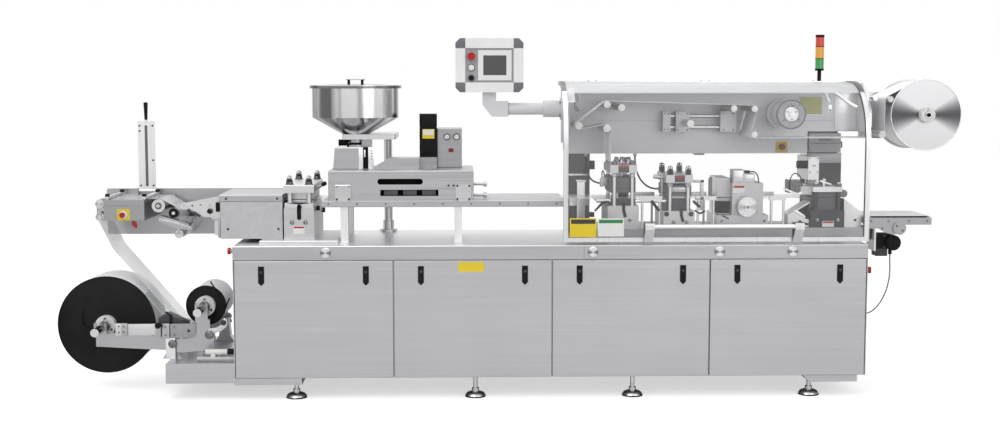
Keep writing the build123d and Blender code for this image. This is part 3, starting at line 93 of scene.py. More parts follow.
class Axis(Enum):
    """Directions that a piece can face."""

    FRONT = (0.0, -1.0, 0.0)
    RIGHT = (1.0, 0.0, 0.0)
    LEFT = (-1.0, 0.0, 0.0)
    UP = (0.0, 0.0, 1.0)


class Grain(Enum):
    """Way that the brushing of a metal runs, as the stretch of its noise along x, y and z."""

    ALONG = (1.5, 240.0, 240.0)
    ACROSS = (240.0, 1.5, 240.0)
    UPRIGHT = (240.0, 240.0, 1.5)
    NONE = (60.0, 60.0, 60.0)


class NodeSheet:
    """Shader nodes of a group, a material or the world, each added with what feeds it."""

    def __init__(self, tree: bpy.types.NodeTree) -> None:
        """Takes the node tree that is written on."""
        self.tree = tree

    def feed(self, target: bpy.types.Node, feeds: dict[str | int, object]) -> None:
        """Gives inputs of a node their values, or links them to the sockets that feed them."""
        for key, value in feeds.items():
            if isinstance(value, bpy.types.NodeSocket):
                self.tree.links.new(value, target.inputs[key])
            else:
                target.inputs[key].default_value = value

    def node(self, kind: str, feeds: dict[str | int, object] | None = None,
             **values: object) -> bpy.types.bpy_prop_collection:
        """Adds a node.

        Args:
            kind: Its type, without the word ShaderNode.
            feeds: Value of each input, or the socket that feeds it.
            values: Its properties.

        Returns:
            Its outputs.
        """
        made = self.tree.nodes.new(f"ShaderNode{kind}")
        for key, value in values.items():
            setattr(made, key, value)
        self.feed(made, feeds or {})
        return made.outputs

    def math(self, operation: str, *values: object, clamp: bool = False) -> bpy.types.NodeSocket:
        """Adds a math node with its inputs in their order, and gives its result."""
        return self.node("Math", dict(enumerate(values)), operation=operation, use_clamp=clamp)[0]


class NodeGroup(NodeSheet):
    """A shader node group with named inputs and outputs, built once."""

    def __init__(self, name: str, inputs: dict[str, float | Place]) -> None:
        """Makes the group.

        Args:
            name: Name of the group.
            inputs: Default of each input.
        """
        super().__init__(bpy.data.node_groups.new(name, "ShaderNodeTree"))
        for label, default in inputs.items():
            self.socket(label, "INPUT", isinstance(default, tuple)).default_value = default
        self.given = self.tree.nodes.new("NodeGroupInput").outputs
        self.place = self.node("TexCoord")["Object"]

    def socket(self, label: str, way: str, vector: bool) -> bpy.types.NodeTreeInterfaceSocket:
        """Adds a socket, for a vector or a number, to the group."""
        kind = "NodeSocketVector" if vector else "NodeSocketFloat"
        return self.tree.interface.new_socket(label, in_out=way, socket_type=kind)

    def close(self, **results: bpy.types.NodeSocket) -> bpy.types.NodeTree:
        """Adds the group's outputs and gives the group."""
        for label, source in results.items():
            self.socket(label, "OUTPUT", source.type == "VECTOR")
        self.feed(self.tree.nodes.new("NodeGroupOutput"), results)
        return self.tree


def brushed_group() -> bpy.types.NodeTree:
    """Fine brushing: long streaks in the metal, with broad soft cloudiness over it.

    Returns:
        The group, with the outputs Shade (0 to 1), Cloud (0 to 1) and Normal.
    """
    group = NodeGroup("brushed_grain", {"Stretch": (1.5, 240.0, 240.0), "Depth": 0.1, "Cloud Scale": 2.5})
    stretch = group.node("VectorMath", {0: group.place, 1: group.given["Stretch"]}, operation="MULTIPLY")[0]
    streak = group.node("TexNoise", {"Vector": stretch, "Scale": 1.0, "Detail": 4.0})["Fac"]
    cloud = group.node("TexNoise", {"Vector": group.place, "Scale": group.given["Cloud Scale"],
                                    "Detail": 2.0})["Fac"]
    bump = group.node("Bump", {"Height": streak, "Strength": group.given["Depth"], "Distance": 0.0004})
    return group.close(Shade=streak, Cloud=cloud, Normal=bump["Normal"])


def speckle_group() -> bpy.types.NodeTree:
    """Fine orange-peel of paint or moulded grain of plastic, with a soft unevenness.

    Returns:
        The group, with the outputs Shade, Cloud and Normal.
    """
    group = NodeGroup("surface_speckle", {"Size": 900.0, "Depth": 0.1, "Cloud Scale": 6.0})
    peel = group.node("TexNoise", {"Vector": group.place, "Scale": group.given["Size"], "Detail": 3.0})["Fac"]
    cloud = group.node("TexNoise", {"Vector": group.place, "Scale": group.given["Cloud Scale"],
                                    "Detail": 3.0})["Fac"]
    bump = group.node("Bump", {"Height": peel, "Strength": group.given["Depth"], "Distance": 0.0005})
    return group.close(Shade=peel, Cloud=cloud, Normal=bump["Normal"])


def turned_group() -> bpy.types.NodeTree:
    """Turning marks: fine rings round a centre, and soft bright and dark fans of painted reflection, as on a
    turned disc.

    Returns:
        The group, with the outputs Shade (rings), Fan (painted reflection, 0 to 1) and Normal.
    """
    group = NodeGroup("turned_rings_painted_fans", {"Centre": (0.0, 0.0, 0.0), "Pitch": 700.0, "Depth": 0.1})
    offset = group.node("VectorMath", {0: group.place, 1: group.given["Centre"]}, operation="SUBTRACT")[0]
    flat = group.node("VectorMath", {0: offset, 1: (1.0, 0.0, 1.0)}, operation="MULTIPLY")[0]
    reach = group.node("VectorMath", {0: flat}, operation="LENGTH")["Value"]
    rings = group.node("TexNoise", {"W": reach, "Scale": group.given["Pitch"], "Detail": 3.0},
                       noise_dimensions="1D")["Fac"]
    # painted reflection: bright and dark fans by the angle round the centre
    parts = group.node("SeparateXYZ", {0: offset})
    angle = group.math("ARCTAN2", parts["Z"], parts["X"])
    wave = group.math("COSINE", group.math("MULTIPLY", angle, 2.0))
    fan = group.node("MapRange", {"Value": wave, "From Min": -1.0})["Result"]
    bump = group.node("Bump", {"Height": rings, "Strength": group.given["Depth"], "Distance": 0.0004})
    return group.close(Shade=rings, Fan=fan, Normal=bump["Normal"])


def drum_group() -> bpy.types.NodeTree:
    """Painted reflection: upright light and dark bands round a rolled and polished drum, with painted shade
    towards its left and right.

    Returns:
        The group, with the outputs Band (painted reflection and painted side shade, 0 to 1), Shade and
        Normal.
    """
    group = NodeGroup("drum_painted_reflection", {"Centre": (0.0, 0.0, 0.0), "Bands": 2.2})
    offset = group.node("VectorMath", {0: group.place, 1: group.given["Centre"]}, operation="SUBTRACT")[0]
    parts = group.node("SeparateXYZ", {0: offset})
    angle = group.math("ARCTAN2", parts["X"], parts["Y"])
    # painted reflection: light and dark bands by the angle round the drum
    bands = group.node("TexNoise", {"W": group.math("MULTIPLY", angle, -1.0), "Scale": group.given["Bands"],
                                    "Detail": 1.5}, noise_dimensions="1D")["Fac"]
    # painted shade: darker towards the drum's left and right, a little more on one side
    side = group.math("SINE", angle)
    away = group.math("MULTIPLY_ADD", group.math("POWER", side, 6.0), -0.22, 0.07)
    lean = group.math("MULTIPLY_ADD", side, 0.09, away)
    streak = group.node("TexNoise", {"Vector": group.place, "Scale": 30.0})["Fac"]
    bump = group.node("Bump", {"Height": streak, "Distance": 0.0003, "Strength": 0.05})
    return group.close(Band=group.math("ADD", lean, bands), Shade=streak, Normal=bump["Normal"])


BRUSHED = brushed_group()
SPECKLE = speckle_group()
TURNED = turned_group()
DRUM = drum_group()


def shaded(colour: Colour, share: float, lift: float = 0.0) -> Colour:
    """A colour made lighter or darker by a share and a small lift, no lighter than white."""
    return tuple(min(1.0, part * share + lift) for part in colour)


class MaterialSheet(NodeSheet):
    """A new material with its Principled shader, ready for nodes."""

    def __init__(self, name: str) -> None:
        """Makes the material of that name."""
        self.material = bpy.data.materials.new(name)
        self.material.use_nodes = True
        super().__init__(self.material.node_tree)
        self.shader = self.tree.nodes["Principled BSDF"]

    def set(self, **values: object) -> None:
        """Sets or feeds inputs of the shader, with underscores for the spaces in their names."""
        self.feed(self.shader, {key.replace("_", " "): value for key, value in values.items()})

    def group(self, tree: bpy.types.NodeTree, **values: object) -> bpy.types.bpy_prop_collection:
        """Places a node group with values for its inputs, and gives its outputs."""
        feeds = {key.replace("_", " "): value for key, value in values.items()}
        return self.node("Group", feeds, node_tree=tree)

    def span(self, source: bpy.types.NodeSocket, low: float, high: float) -> bpy.types.NodeSocket:
        """Maps a mask from 0.3 to 0.7 onto a range."""
        return self.node("MapRange", {"Value": source, "From Min": 0.3, "From Max": 0.7, "To Min": low,
                                      "To Max": high})["Result"]

    def tint(self, source: bpy.types.NodeSocket, dark: Colour, light: Colour,
             low: float = 0.3, high: float = 0.7) -> bpy.types.NodeSocket:
        """Mixes two colours by a mask.

        Args:
            source: Mask that chooses between the colours.
            dark: Colour where the mask is low.
            light: Colour where the mask is high.
            low: Value of the mask at which the dark colour ends.
            high: Value of the mask at which the light colour begins.

        Returns:
            The socket with the mixed colour.
        """
        ramp = self.tree.nodes.new("ShaderNodeValToRGB")
        for element, position, colour in zip(ramp.color_ramp.elements, (low, high), (dark, light)):
            element.position = position
            element.color = (*colour, 1.0)
        self.feed(ramp, {"Fac": source})
        return ramp.outputs["Color"]

    def paint_edge_shade(self, colour: bpy.types.NodeSocket, share: float) -> bpy.types.NodeSocket:
        """Paints shade into a colour where the surface is seen edgeways, like the sides of a rod.

        Args:
            colour: The colour.
            share: How much of it is lost at the edge.

        Returns:
            The socket with the darkened colour.
        """
        glance = self.node("Fresnel", {"IOR": 0.84})["Fac"]
        rest = self.math("MULTIPLY_ADD", glance, -share, 1.0)
        return self.node("VectorMath", {0: colour, "Scale": rest}, operation="SCALE")[0]


@dataclass(frozen=True)
class Brushed:
    """Brushed or milled metal, with painted shade along edges seen edgeways where rim is set."""

    name: str
    colour: Colour
    roughness: float = 0.32
    grain: Grain = Grain.ALONG
    depth: float = 0.06
    spread: float = 0.05
    metallic: float = 1.0
    # share of painted shade where the surface is seen edgeways
    rim: float = 0.0

    def material(self) -> bpy.types.Material:
        """Builds the material."""
        sheet = MaterialSheet(self.name)
        grain = sheet.group(BRUSHED, Stretch=self.grain.value, Depth=self.depth)
        cloud = sheet.math("MULTIPLY_ADD", grain["Cloud"], 0.5, -0.25)
        mix = sheet.math("ADD", grain["Shade"], cloud, clamp=True)
        colour = sheet.tint(mix, shaded(self.colour, 1 - self.spread), shaded(self.colour, 1 + self.spread))
        sheet.set(Metallic=self.metallic, Normal=grain["Normal"],
                  Base_Color=sheet.paint_edge_shade(colour, self.rim) if self.rim else colour,
                  Roughness=sheet.span(grain["Shade"], self.roughness - 0.06, self.roughness + 0.08))
        return sheet.material


@dataclass(frozen=True)
class Painted:
    """Painted metal or moulded plastic."""

    name: str
    colour: Colour
    roughness: float = 0.4
    size: float = 900.0
    depth: float = 0.08
    spread: float = 0.05
    coat: float = 0.0
    specular: float = 0.5

    def material(self) -> bpy.types.Material:
        """Builds the material."""
        sheet = MaterialSheet(self.name)
        speckle = sheet.group(SPECKLE, Size=self.size, Depth=self.depth)
        light = shaded(self.colour, 1 + self.spread, 0.003)
        sheet.set(Coat_Weight=self.coat, Coat_Roughness=0.15, Specular_IOR_Level=self.specular,
                  Base_Color=sheet.tint(speckle["Cloud"], shaded(self.colour, 1 - self.spread), light),
                  Roughness=sheet.span(speckle["Shade"], self.roughness - 0.05, self.roughness + 0.07),
                  Normal=speckle["Normal"])
        return sheet.material


@dataclass(frozen=True)
class TurnedDiscPaintedFans:
    """Turned metal disc or end of a roll, with rings, and soft dark fans of painted reflection left and right
    of its centre.
    """

    name: str
    centre: Place
    light: Colour
    dark: Colour
    roughness: float = 0.3
    pitch: float = 700.0
    depth: float = 0.15
    metallic: float = 1.0
    fan_start: float = 0.72

    def material(self) -> bpy.types.Material:
        """Builds the material."""
        sheet = MaterialSheet(self.name)
        rings = sheet.group(TURNED, Centre=spot(*self.centre), Pitch=self.pitch, Depth=self.depth)
        # the colour holds a painted reflection: light, darkening into fans left and right of the centre
        sheet.set(Metallic=self.metallic, Normal=rings["Normal"],
                  Base_Color=sheet.tint(rings["Fan"], self.light, self.dark, self.fan_start, 1.0),
                  Roughness=sheet.span(rings["Shade"], self.roughness - 0.06, self.roughness + 0.1))
        return sheet.material


@dataclass(frozen=True)
class DrumPaintedReflection:
    """Polished drum with a painted reflection of its surroundings in upright bands, and painted shade at its
    sides.
    """

    name: str
    centre: Place
    light: Colour
    dark: Colour
    roughness: float = 0.16

    def material(self) -> bpy.types.Material:
        """Builds the material."""
        sheet = MaterialSheet(self.name)
        bands = sheet.group(DRUM, Centre=spot(*self.centre))
        sheet.set(Metallic=1.0, Normal=bands["Normal"],
                  Base_Color=sheet.tint(bands["Band"], self.dark, self.light, 0.42, 0.6),
                  Roughness=sheet.span(bands["Shade"], self.roughness - 0.03, self.roughness + 0.05))
        return sheet.material


@dataclass(frozen=True)
class Sheeting:
    """Clear sheet or film, mostly seen through, with a faint veil of painted reflection where it is seen
    edgeways.
    """

    name: str
    colour: Colour
    alpha: float
    roughness: float = 0.08
    edgeways: float = 0.0
    veil_height: float = 0.0

    def material(self) -> bpy.types.Material:
        """Builds the material."""
        sheet = MaterialSheet(self.name)
        speckle = sheet.group(SPECKLE, Size=30.0, Depth=0.02, Cloud_Scale=2.0)
        alpha = sheet.span(speckle["Cloud"], self.alpha * 0.8, min(1.0, self.alpha * 1.2))
        # painted reflection: a white veil where the sheet is seen edgeways, above a height
        if self.edgeways:
            height = sheet.node("SeparateXYZ", {0: sheet.node("TexCoord")["Object"]})["Z"]
            above = sheet.node("MapRange", {"Value": height, "From Min": self.veil_height - 0.008,
                                            "From Max": self.veil_height})["Result"]
            veil = sheet.math("MULTIPLY", sheet.node("Fresnel")["Fac"], above)
            alpha = sheet.math("MULTIPLY_ADD", veil, self.edgeways, alpha, clamp=True)
        sheet.set(Base_Color=(*self.colour, 1.0), Specular_IOR_Level=0.4, Alpha=alpha,
                  Roughness=sheet.span(speckle["Shade"], self.roughness, self.roughness + 0.06))
        return sheet.material


@dataclass(frozen=True)
class Lens:
    """Coloured lens of a signal lamp, ribbed round and faintly lit from inside."""

    name: str
    colour: Colour

    def material(self) -> bpy.types.Material:
        """Builds the material."""
        sheet = MaterialSheet(self.name)
        ribs = sheet.node("TexWave", {"Vector": sheet.node("TexCoord")["Object"], "Scale": 60.0},
                          bands_direction="Z")["Fac"]
        sheet.set(Base_Color=sheet.tint(ribs, shaded(self.colour, 0.72), self.colour), Roughness=0.18,
                  Coat_Weight=0.6, Emission_Color=(*self.colour, 1.0), Emission_Strength=0.12)
        return sheet.material


STEEL = Brushed("brushed_steel_panel", (0.525, 0.525, 0.545), 0.38)
COLUMN_STEEL = Brushed("column_steel", (0.085, 0.085, 0.09), 0.42, Grain.UPRIGHT)
BAND_STEEL = Brushed("band_steel", (0.49, 0.49, 0.51), 0.36)
SHADED_STEEL = Brushed("shaded_steel", (0.385, 0.385, 0.395), 0.38)
DECK_STEEL = Brushed("deck_steel", (0.72, 0.72, 0.73), 0.34)
DULL_STEEL = Brushed("dull_steel", (0.46, 0.46, 0.47), 0.65, Grain.NONE)
HOUSING_STEEL = Brushed("housing_steel", (0.45, 0.45, 0.465), 0.42)
FEEDER_STEEL = Brushed("feeder_steel", (0.475, 0.475, 0.49), 0.36)
STATION_STEEL = Brushed("station_steel", (0.58, 0.58, 0.59), 0.36)
FRAME_STEEL = Brushed("bright_frame_steel", (0.86, 0.86, 0.87), 0.34, Grain.NONE, 0.03, 0.015)
MILLED = Brushed("milled_aluminium", (0.68, 0.68, 0.69), 0.36)
MILLED_UP = Brushed("milled_aluminium_upright", (0.84, 0.84, 0.85), 0.36, Grain.UPRIGHT)
BLASTED = Brushed("blasted_plate", (0.50, 0.50, 0.51), 0.5, Grain.NONE, 0.15, 0.06)
BED_STEEL = Brushed("bed_plate_steel", (0.33, 0.33, 0.34), 0.42)
# rim: painted shade where these surfaces are seen edgeways
ROLLER_STEEL = Brushed("roller_steel", (0.74, 0.74, 0.75), 0.3, Grain.NONE, 0.03, 0.03, rim=0.6)
DARK_BLASTED = Brushed("dark_blasted_plate", (0.12, 0.12, 0.125), 0.5, Grain.NONE, 0.15, 0.08)
# rim: painted shade where these surfaces are seen edgeways
POLISHED = Brushed("polished_steel", (0.70, 0.70, 0.71), 0.16, Grain.ALONG, 0.03, 0.04, rim=0.7)
POLISHED_UP = Brushed("polished_steel_upright", (0.68, 0.68, 0.69), 0.18, Grain.UPRIGHT, 0.03, 0.04, rim=0.7)
TUBE_STEEL = Brushed("guard_tube_steel", (0.78, 0.78, 0.79), 0.3, Grain.UPRIGHT, 0.02, 0.01, rim=0.8)
NUT_STEEL = Brushed("dark_nut_steel", (0.20, 0.20, 0.205), 0.2, Grain.UPRIGHT, 0.05, 0.12, rim=0.6)
BOLT_STEEL = Brushed("bolt_steel", (0.24, 0.24, 0.245), 0.25, Grain.NONE, 0.05, 0.05)
WHITE = Painted("white_paint", (0.80, 0.80, 0.80), 0.35)
WHITE_PLASTIC = Painted("white_plastic", (0.76, 0.76, 0.75), 0.4, 500.0)
PIPE_PAINT = Painted("pale_grey_paint", (0.62, 0.62, 0.64), 0.4)
GREY_PAINT = Painted("grey_paint", (0.36, 0.36, 0.38), 0.4)
MID_GREY = Painted("mid_grey_paint", (0.16, 0.16, 0.172), 0.4, specular=0.3)
DARK_GREY = Painted("dark_grey_paint", (0.05, 0.051, 0.055), 0.45, specular=0.3)
BLACK = Painted("black_plastic", (0.008, 0.008, 0.009), 0.5, 600.0, 0.15, 0.3, specular=0.12)
BLACK_SATIN = Painted("black_satin_disc", (0.010, 0.010, 0.011), 0.5, 260.0, 0.1, 0.35, specular=0.14)
# painted shade where this finish fills gaps, slots and openings
SHADOW = Painted("dark_recess", (0.012, 0.012, 0.013), 0.7, 300.0, 0.1, 0.3, specular=0.08)
RED = Painted("red_plastic", (0.42, 0.008, 0.014), 0.32, 500.0, 0.04, 0.08, 0.15, 0.3)
DARK_RED = Painted("dark_red_rocker", (0.20, 0.012, 0.012), 0.3, 500.0, 0.04, 0.08, 0.2, 0.3)
YELLOW = Painted("yellow_plate", (0.74, 0.56, 0.02), 0.42, 400.0, 0.05, 0.06)
PALE_GREEN = Painted("pale_green_plate", (0.50, 0.50, 0.17), 0.42, 400.0, 0.05, 0.06)
GREEN = Painted("green_header", (0.02, 0.22, 0.06), 0.42, 400.0, 0.05, 0.06)
GREY_WEAVE = Painted("grey_sheath", (0.22, 0.22, 0.23), 0.5, 1500.0, 0.05, 0.08)
BLACK_SHEATH = Painted("black_sheath", (0.012, 0.012, 0.013), 0.45, 1500.0, 0.05, 0.2, specular=0.2)
BELT = Painted("belt_rubber", (0.95, 0.95, 0.95), 0.6, 1800.0, 0.3, 0.06)
SCREEN = Painted("dark_screen", (0.045, 0.047, 0.05), 0.12, 300.0, 0.01, 0.05, 0.6)
FILM_ROLL = Painted("wound_film", (0.92, 0.92, 0.93), 0.4, 40.0, 0.02, 0.015, specular=0.3)
FOIL = Brushed("rolled_foil", (0.88, 0.88, 0.89), 0.4, Grain.ACROSS, 0.05, 0.04, 0.35)
CLEAR_FILM = Sheeting("clear_film", (0.84, 0.85, 0.86), 0.44, 0.14)
# guard: painted reflection veil where its curved top is seen edgeways, above 1.462 m
ACRYLIC = Sheeting("acrylic_guard", (0.93, 0.94, 0.95), 0.05, 0.05, 0.75, 1.462)
LAMP_RED = Lens("red_lens", (0.62, 0.03, 0.02))
LAMP_AMBER = Lens("amber_lens", (0.80, 0.36, 0.02))
LAMP_GREEN = Lens("green_lens", (0.03, 0.34, 0.08))

Finish = Brushed | Painted | TurnedDiscPaintedFans | DrumPaintedReflection | Sheeting | Lens
Rule = Callable[[Vector, Vector], bool]


class Paintbox:
    """Builds each finish once and gives it to pieces."""

    made: dict[str, bpy.types.Material] = {}

    @classmethod
    def get(cls, finish: Finish) -> bpy.types.Material:
        """Gives the material of a finish, built at its first use."""
        if finish.name not in cls.made:
            cls.made[finish.name] = finish.material()
        return cls.made[finish.name]

    @classmethod
    def dress(cls, piece: bpy.types.Object, finish: Finish) -> None:
        """Gives a piece its finish all over."""
        piece.data.materials.clear()
        piece.data.materials.append(cls.get(finish))

    @classmethod
    def coat(cls, name: str, finish: Finish, *patches: tuple[Finish, Rule]) -> None:
        """Gives a CAD node its finish, then others to the faces that their rules name."""
        cls.dress(node(name), finish)
        for other, rule in patches:
            cls.patch(node(name), other, rule)

    @classmethod
    def patch(cls, piece: bpy.types.Object, finish: Finish, rule: Rule) -> None:
        """Gives some faces of a piece another finish.

        Args:
            piece: The piece, dressed already.
            finish: Finish of those faces.
            rule: Says from a face's middle and normal whether it is one of them.
        """
        piece.data.materials.append(cls.get(finish))
        index = len(piece.data.materials) - 1
        for face in piece.data.polygons:
            if rule(face.center, face.normal):
                face.material_index = index


def node(name: str) -> bpy.types.Object:
    """Gives the CAD node of that name."""
    return frame["nodes"][name]


def round_y(x: float, z: float, reach: float, inner: float = 0.0) -> Rule:
    """Rule for the faces round an axis along y, given from the cabinet's left end and the floor.

    Args:
        x: Place of the axis along the machine.
        z: Height of the axis.
        reach: Radius within which a face belongs.
        inner: Radius that a face lies outside of.

    Returns:
        The rule.
    """
    middle = spot(x, 0.0, z)
    return lambda place, normal: inner <= math.hypot(place.x - middle.x, place.z - middle.z) <= reach


def round_z(places: Sequence[Pair], reach: float, low: float, high: float) -> Rule:
    """Rule for the faces round upright axes, between two heights.

    Args:
        places: Each axis, from the cabinet's left end and front.
        reach: Radius within which a face belongs.
        low: Lowest height.
        high: Greatest height.

    Returns:
        The rule.
    """
    middles = [spot(x, y, 0.0) for x, y in places]
    return lambda place, normal: low < place.z < high and any(
        math.hypot(place.x - middle.x, place.y - middle.y) <= reach for middle in middles)


def region(low: Place, high: Place) -> Rule:
    """Rule for the faces whose middle lies between two corners, measured as spot() does."""
    start, end = spot(*low), spot(*high)
    return lambda place, normal: all(start[i] <= place[i] <= end[i] for i in range(3))


def level(low: float, high: float = math.inf) -> Rule:
    """Rule for the faces whose middle lies between two heights."""
    return lambda place, normal: low < place.z < high


def along(start: float, end: float = math.inf) -> Rule:
    """Rule for the faces whose middle lies between two distances from the cabinet's left end."""
    return lambda place, normal: LEFT + start < place.x < LEFT + end


def facing(axis: Axis) -> Rule:
    """Rule for the faces that look along an axis."""
    return lambda place, normal: normal.dot(Vector(axis.value)) > 0.9


class Bench:
    """Modelling steps that the sub-assemblies share, each done with Blender's own tools."""

    @staticmethod
    def take(*pieces: bpy.types.Object) -> None:
        """Selects only these pieces, the first one active."""
        bpy.ops.object.select_all(action="DESELECT")
        for piece in pieces:
            piece.select_set(True)
        bpy.context.view_layer.objects.active = pieces[0]

    @staticmethod
    def settle(piece: bpy.types.Object) -> bpy.types.Object:
        """Puts a piece's place, turn and scale into its mesh."""
        Bench.take(piece)
        bpy.ops.object.transform_apply(location=True, rotation=True, scale=True)
        return piece

    @staticmethod
    def soften(piece: bpy.types.Object, width: float, steps: int = 2) -> bpy.types.Object:
        """Rounds the sharp edges of a piece."""
        Bench.take(piece)
        edge = piece.modifiers.new("edge", "BEVEL")
        edge.width = width
        edge.segments = steps
        edge.limit_method = "ANGLE"
        edge.angle_limit = math.radians(40)
        bpy.ops.object.modifier_apply(modifier="edge")
        return piece

    @staticmethod
    def block(low: Place, high: Place, edge: float = 0.0015) -> bpy.types.Object:
        """Block between two corners, measured as spot() does, with softened edges."""
        start, end = spot(*low), spot(*high)
        bpy.ops.object.select_all(action="DESELECT")
        bpy.ops.mesh.primitive_cube_add(size=1.0, location=(start + end) / 2)
        piece = bpy.context.object
        piece.scale = tuple(abs(end[i] - start[i]) for i in range(3))
        Bench.settle(piece)
        return Bench.soften(piece, edge)

    @staticmethod
    def turned(steps: Sequence[Pair], sides: int = 32, edge: float = 0.0) -> bpy.types.Object:
        """Turned piece that stands on the origin along +Z.

        Args:
            steps: Radius and height of each step of its outline, from the foot up.
            sides: Number of flats round it.
            edge: Width of the softened edges, or 0 for none.

        Returns:
            The piece.
        """
        (foot, low), (radius, high) = steps[0], steps[1]
        bpy.ops.object.select_all(action="DESELECT")
        bpy.ops.mesh.primitive_cone_add(vertices=sides, radius1=foot, radius2=radius, depth=high - low,
                                        location=(0.0, 0.0, (high + low) / 2), end_fill_type="NGON")
        piece = Bench.settle(bpy.context.object)
        for face in piece.data.polygons:
            face.select = face.normal.z > 0.99
        bpy.context.tool_settings.mesh_select_mode = (False, False, True)
        bpy.ops.object.mode_set(mode="EDIT")
        for wide, tall in steps[2:]:
            bpy.ops.mesh.extrude_region_move(TRANSFORM_OT_translate={"value": (0.0, 0.0, tall - high)})
            ratio = wide / radius
            bpy.ops.transform.resize(value=(ratio, ratio, 1.0))
            radius, high = wide, tall
        bpy.ops.mesh.select_all(action="SELECT")
        bpy.ops.mesh.normals_make_consistent(inside=False)
        bpy.ops.object.mode_set(mode="OBJECT")
        return Bench.soften(piece, edge) if edge else piece

    @staticmethod
    def ring(outer: float, inner: float, height: float, edge: float = 0.0006,
             sides: int = 72) -> bpy.types.Object:
        """Flat ring on the origin with softened edges, along +Z."""
        bpy.ops.object.select_all(action="DESELECT")
        bpy.ops.mesh.primitive_circle_add(vertices=sides, radius=outer, fill_type="NOTHING")
        piece = bpy.context.object
        bpy.context.tool_settings.mesh_select_mode = (False, True, False)
        bpy.ops.object.mode_set(mode="EDIT")
        bpy.ops.mesh.select_all(action="SELECT")
        bpy.ops.mesh.extrude_region_move(TRANSFORM_OT_translate={"value": (0.0, 0.0, height)})
        bpy.ops.mesh.extrude_region_move(TRANSFORM_OT_translate={"value": (0.0, 0.0, 0.0)})
        bpy.ops.transform.resize(value=(inner / outer, inner / outer, 1.0))
        bpy.ops.mesh.extrude_region_move(TRANSFORM_OT_translate={"value": (0.0, 0.0, -height)})
        bpy.ops.mesh.select_all(action="DESELECT")
        bpy.ops.mesh.select_non_manifold()
        bpy.ops.mesh.bridge_edge_loops()
        bpy.ops.mesh.select_all(action="SELECT")
        bpy.ops.mesh.normals_make_consistent(inside=False)
        bpy.ops.object.mode_set(mode="OBJECT")
        return Bench.soften(piece, edge)

    @staticmethod
    def stand(piece: bpy.types.Object, place: Place, axis: Axis | Place = Axis.FRONT) -> bpy.types.Object:
        """Turns a piece from +Z to an axis or direction and moves it to a place that spot() measures."""
        way = Vector(axis.value if isinstance(axis, Axis) else axis)
        piece.rotation_euler = way.to_track_quat("Z", "Y").to_euler()
        piece.location = spot(*place)
        return Bench.settle(piece)

    @staticmethod
    def disc(place: Place, steps: Sequence[Pair], sides: int = 32, edge: float = 0.0,
             axis: Axis | Place = Axis.FRONT) -> bpy.types.Object:
        """Turned piece that stands at its place and faces an axis or direction."""
        return Bench.stand(Bench.turned(steps, sides, edge), place, axis)

    @staticmethod
    def rod(start: Place, end: Place, radius: float, edge: float = 0.001,
            sides: int = 24) -> bpy.types.Object:
        """Round bar between two points, measured as spot() does, with softened ends."""
        along = spot(*end) - spot(*start)
        return Bench.disc(start, ((radius, 0.0), (radius, along.length)), sides, edge, tuple(along))

    @staticmethod
    def outline(points: Sequence[Pair], near: float, far: float,
                edge: float = 0.0015) -> bpy.types.Object:
        """Flat piece with an outline given as x and z, from one depth to another.

        Args:
            points: Corners of the outline, from the cabinet's left end and the floor.
            near: Depth of the front face, behind the cabinet's front.
            far: Depth of the back face.
            edge: Width of the softened edges.

        Returns:
            The piece.
        """
        bpy.ops.object.select_all(action="DESELECT")
        bpy.ops.mesh.primitive_circle_add(vertices=len(points), radius=0.1, fill_type="NGON")
        piece = bpy.context.object
        for corner, (x, z) in zip(piece.data.vertices, points):
            corner.co = spot(x, near, z)
        bpy.ops.object.mode_set(mode="EDIT")
        bpy.ops.mesh.select_all(action="SELECT")
        bpy.ops.mesh.extrude_region_move(TRANSFORM_OT_translate={"value": (0.0, far - near, 0.0)})
        bpy.ops.mesh.select_all(action="SELECT")
        bpy.ops.mesh.normals_make_consistent(inside=False)
        bpy.ops.object.mode_set(mode="OBJECT")
        return Bench.soften(Bench.settle(piece), edge)

    @staticmethod
    def curve(name: str, points: Sequence[Place], radius: float, rounding: int) -> bpy.types.Object:
        """Round smooth curve along points, measured as spot() does.

        Args:
            name: Name of the curve.
            points: The points that it follows, its ends included.
            radius: Half its thickness.
            rounding: How finely its section is rounded.

        Returns:
            The curve.
        """
        line = bpy.data.curves.new(name, "CURVE")
        line.dimensions = "3D"
        line.bevel_depth = radius
        line.bevel_resolution = rounding
        run = line.splines.new("NURBS")
        run.points.add(len(points) - 1)
        for point, place in zip(run.points, points):
            point.co = (*spot(*place), 1.0)
        run.order_u = 3
        run.use_endpoint_u = True
        piece = bpy.data.objects.new(name, line)
        bpy.context.collection.objects.link(piece)
        return piece

    @staticmethod
    def wire(points: Sequence[Place], radius: float) -> bpy.types.Object:
        """Bent wire through points, as a mesh."""
        piece = Bench.curve("wire", points, radius, 3)
        piece.data.use_fill_caps = True
        Bench.take(piece)
        bpy.ops.object.convert(target="MESH")
        return bpy.context.object

    @staticmethod
    def copies(piece: bpy.types.Object, places: Iterable[Place],
               axis: Axis = Axis.FRONT) -> bpy.types.Object:
        """Repeats a piece that stands on the origin, each copy with its own mesh, and joins them.

        Args:
            piece: The first piece, along +Z.
            places: Where the copies stand, measured as spot() does.
            axis: Way that they face.

        Returns:
            All the copies as one piece.
        """
        stands = []
        for place in places:
            Bench.take(piece)
            bpy.ops.object.duplicate(linked=False)
            stands.append(Bench.stand(bpy.context.object, place, axis))
        bpy.data.objects.remove(piece)
        return Bench.join(*stands)

    @staticmethod
    def join(*pieces: bpy.types.Object) -> bpy.types.Object:
        """Joins pieces into the first one."""
        Bench.take(*pieces)
        if len(pieces) > 1:
            bpy.ops.object.join()
        return pieces[0]

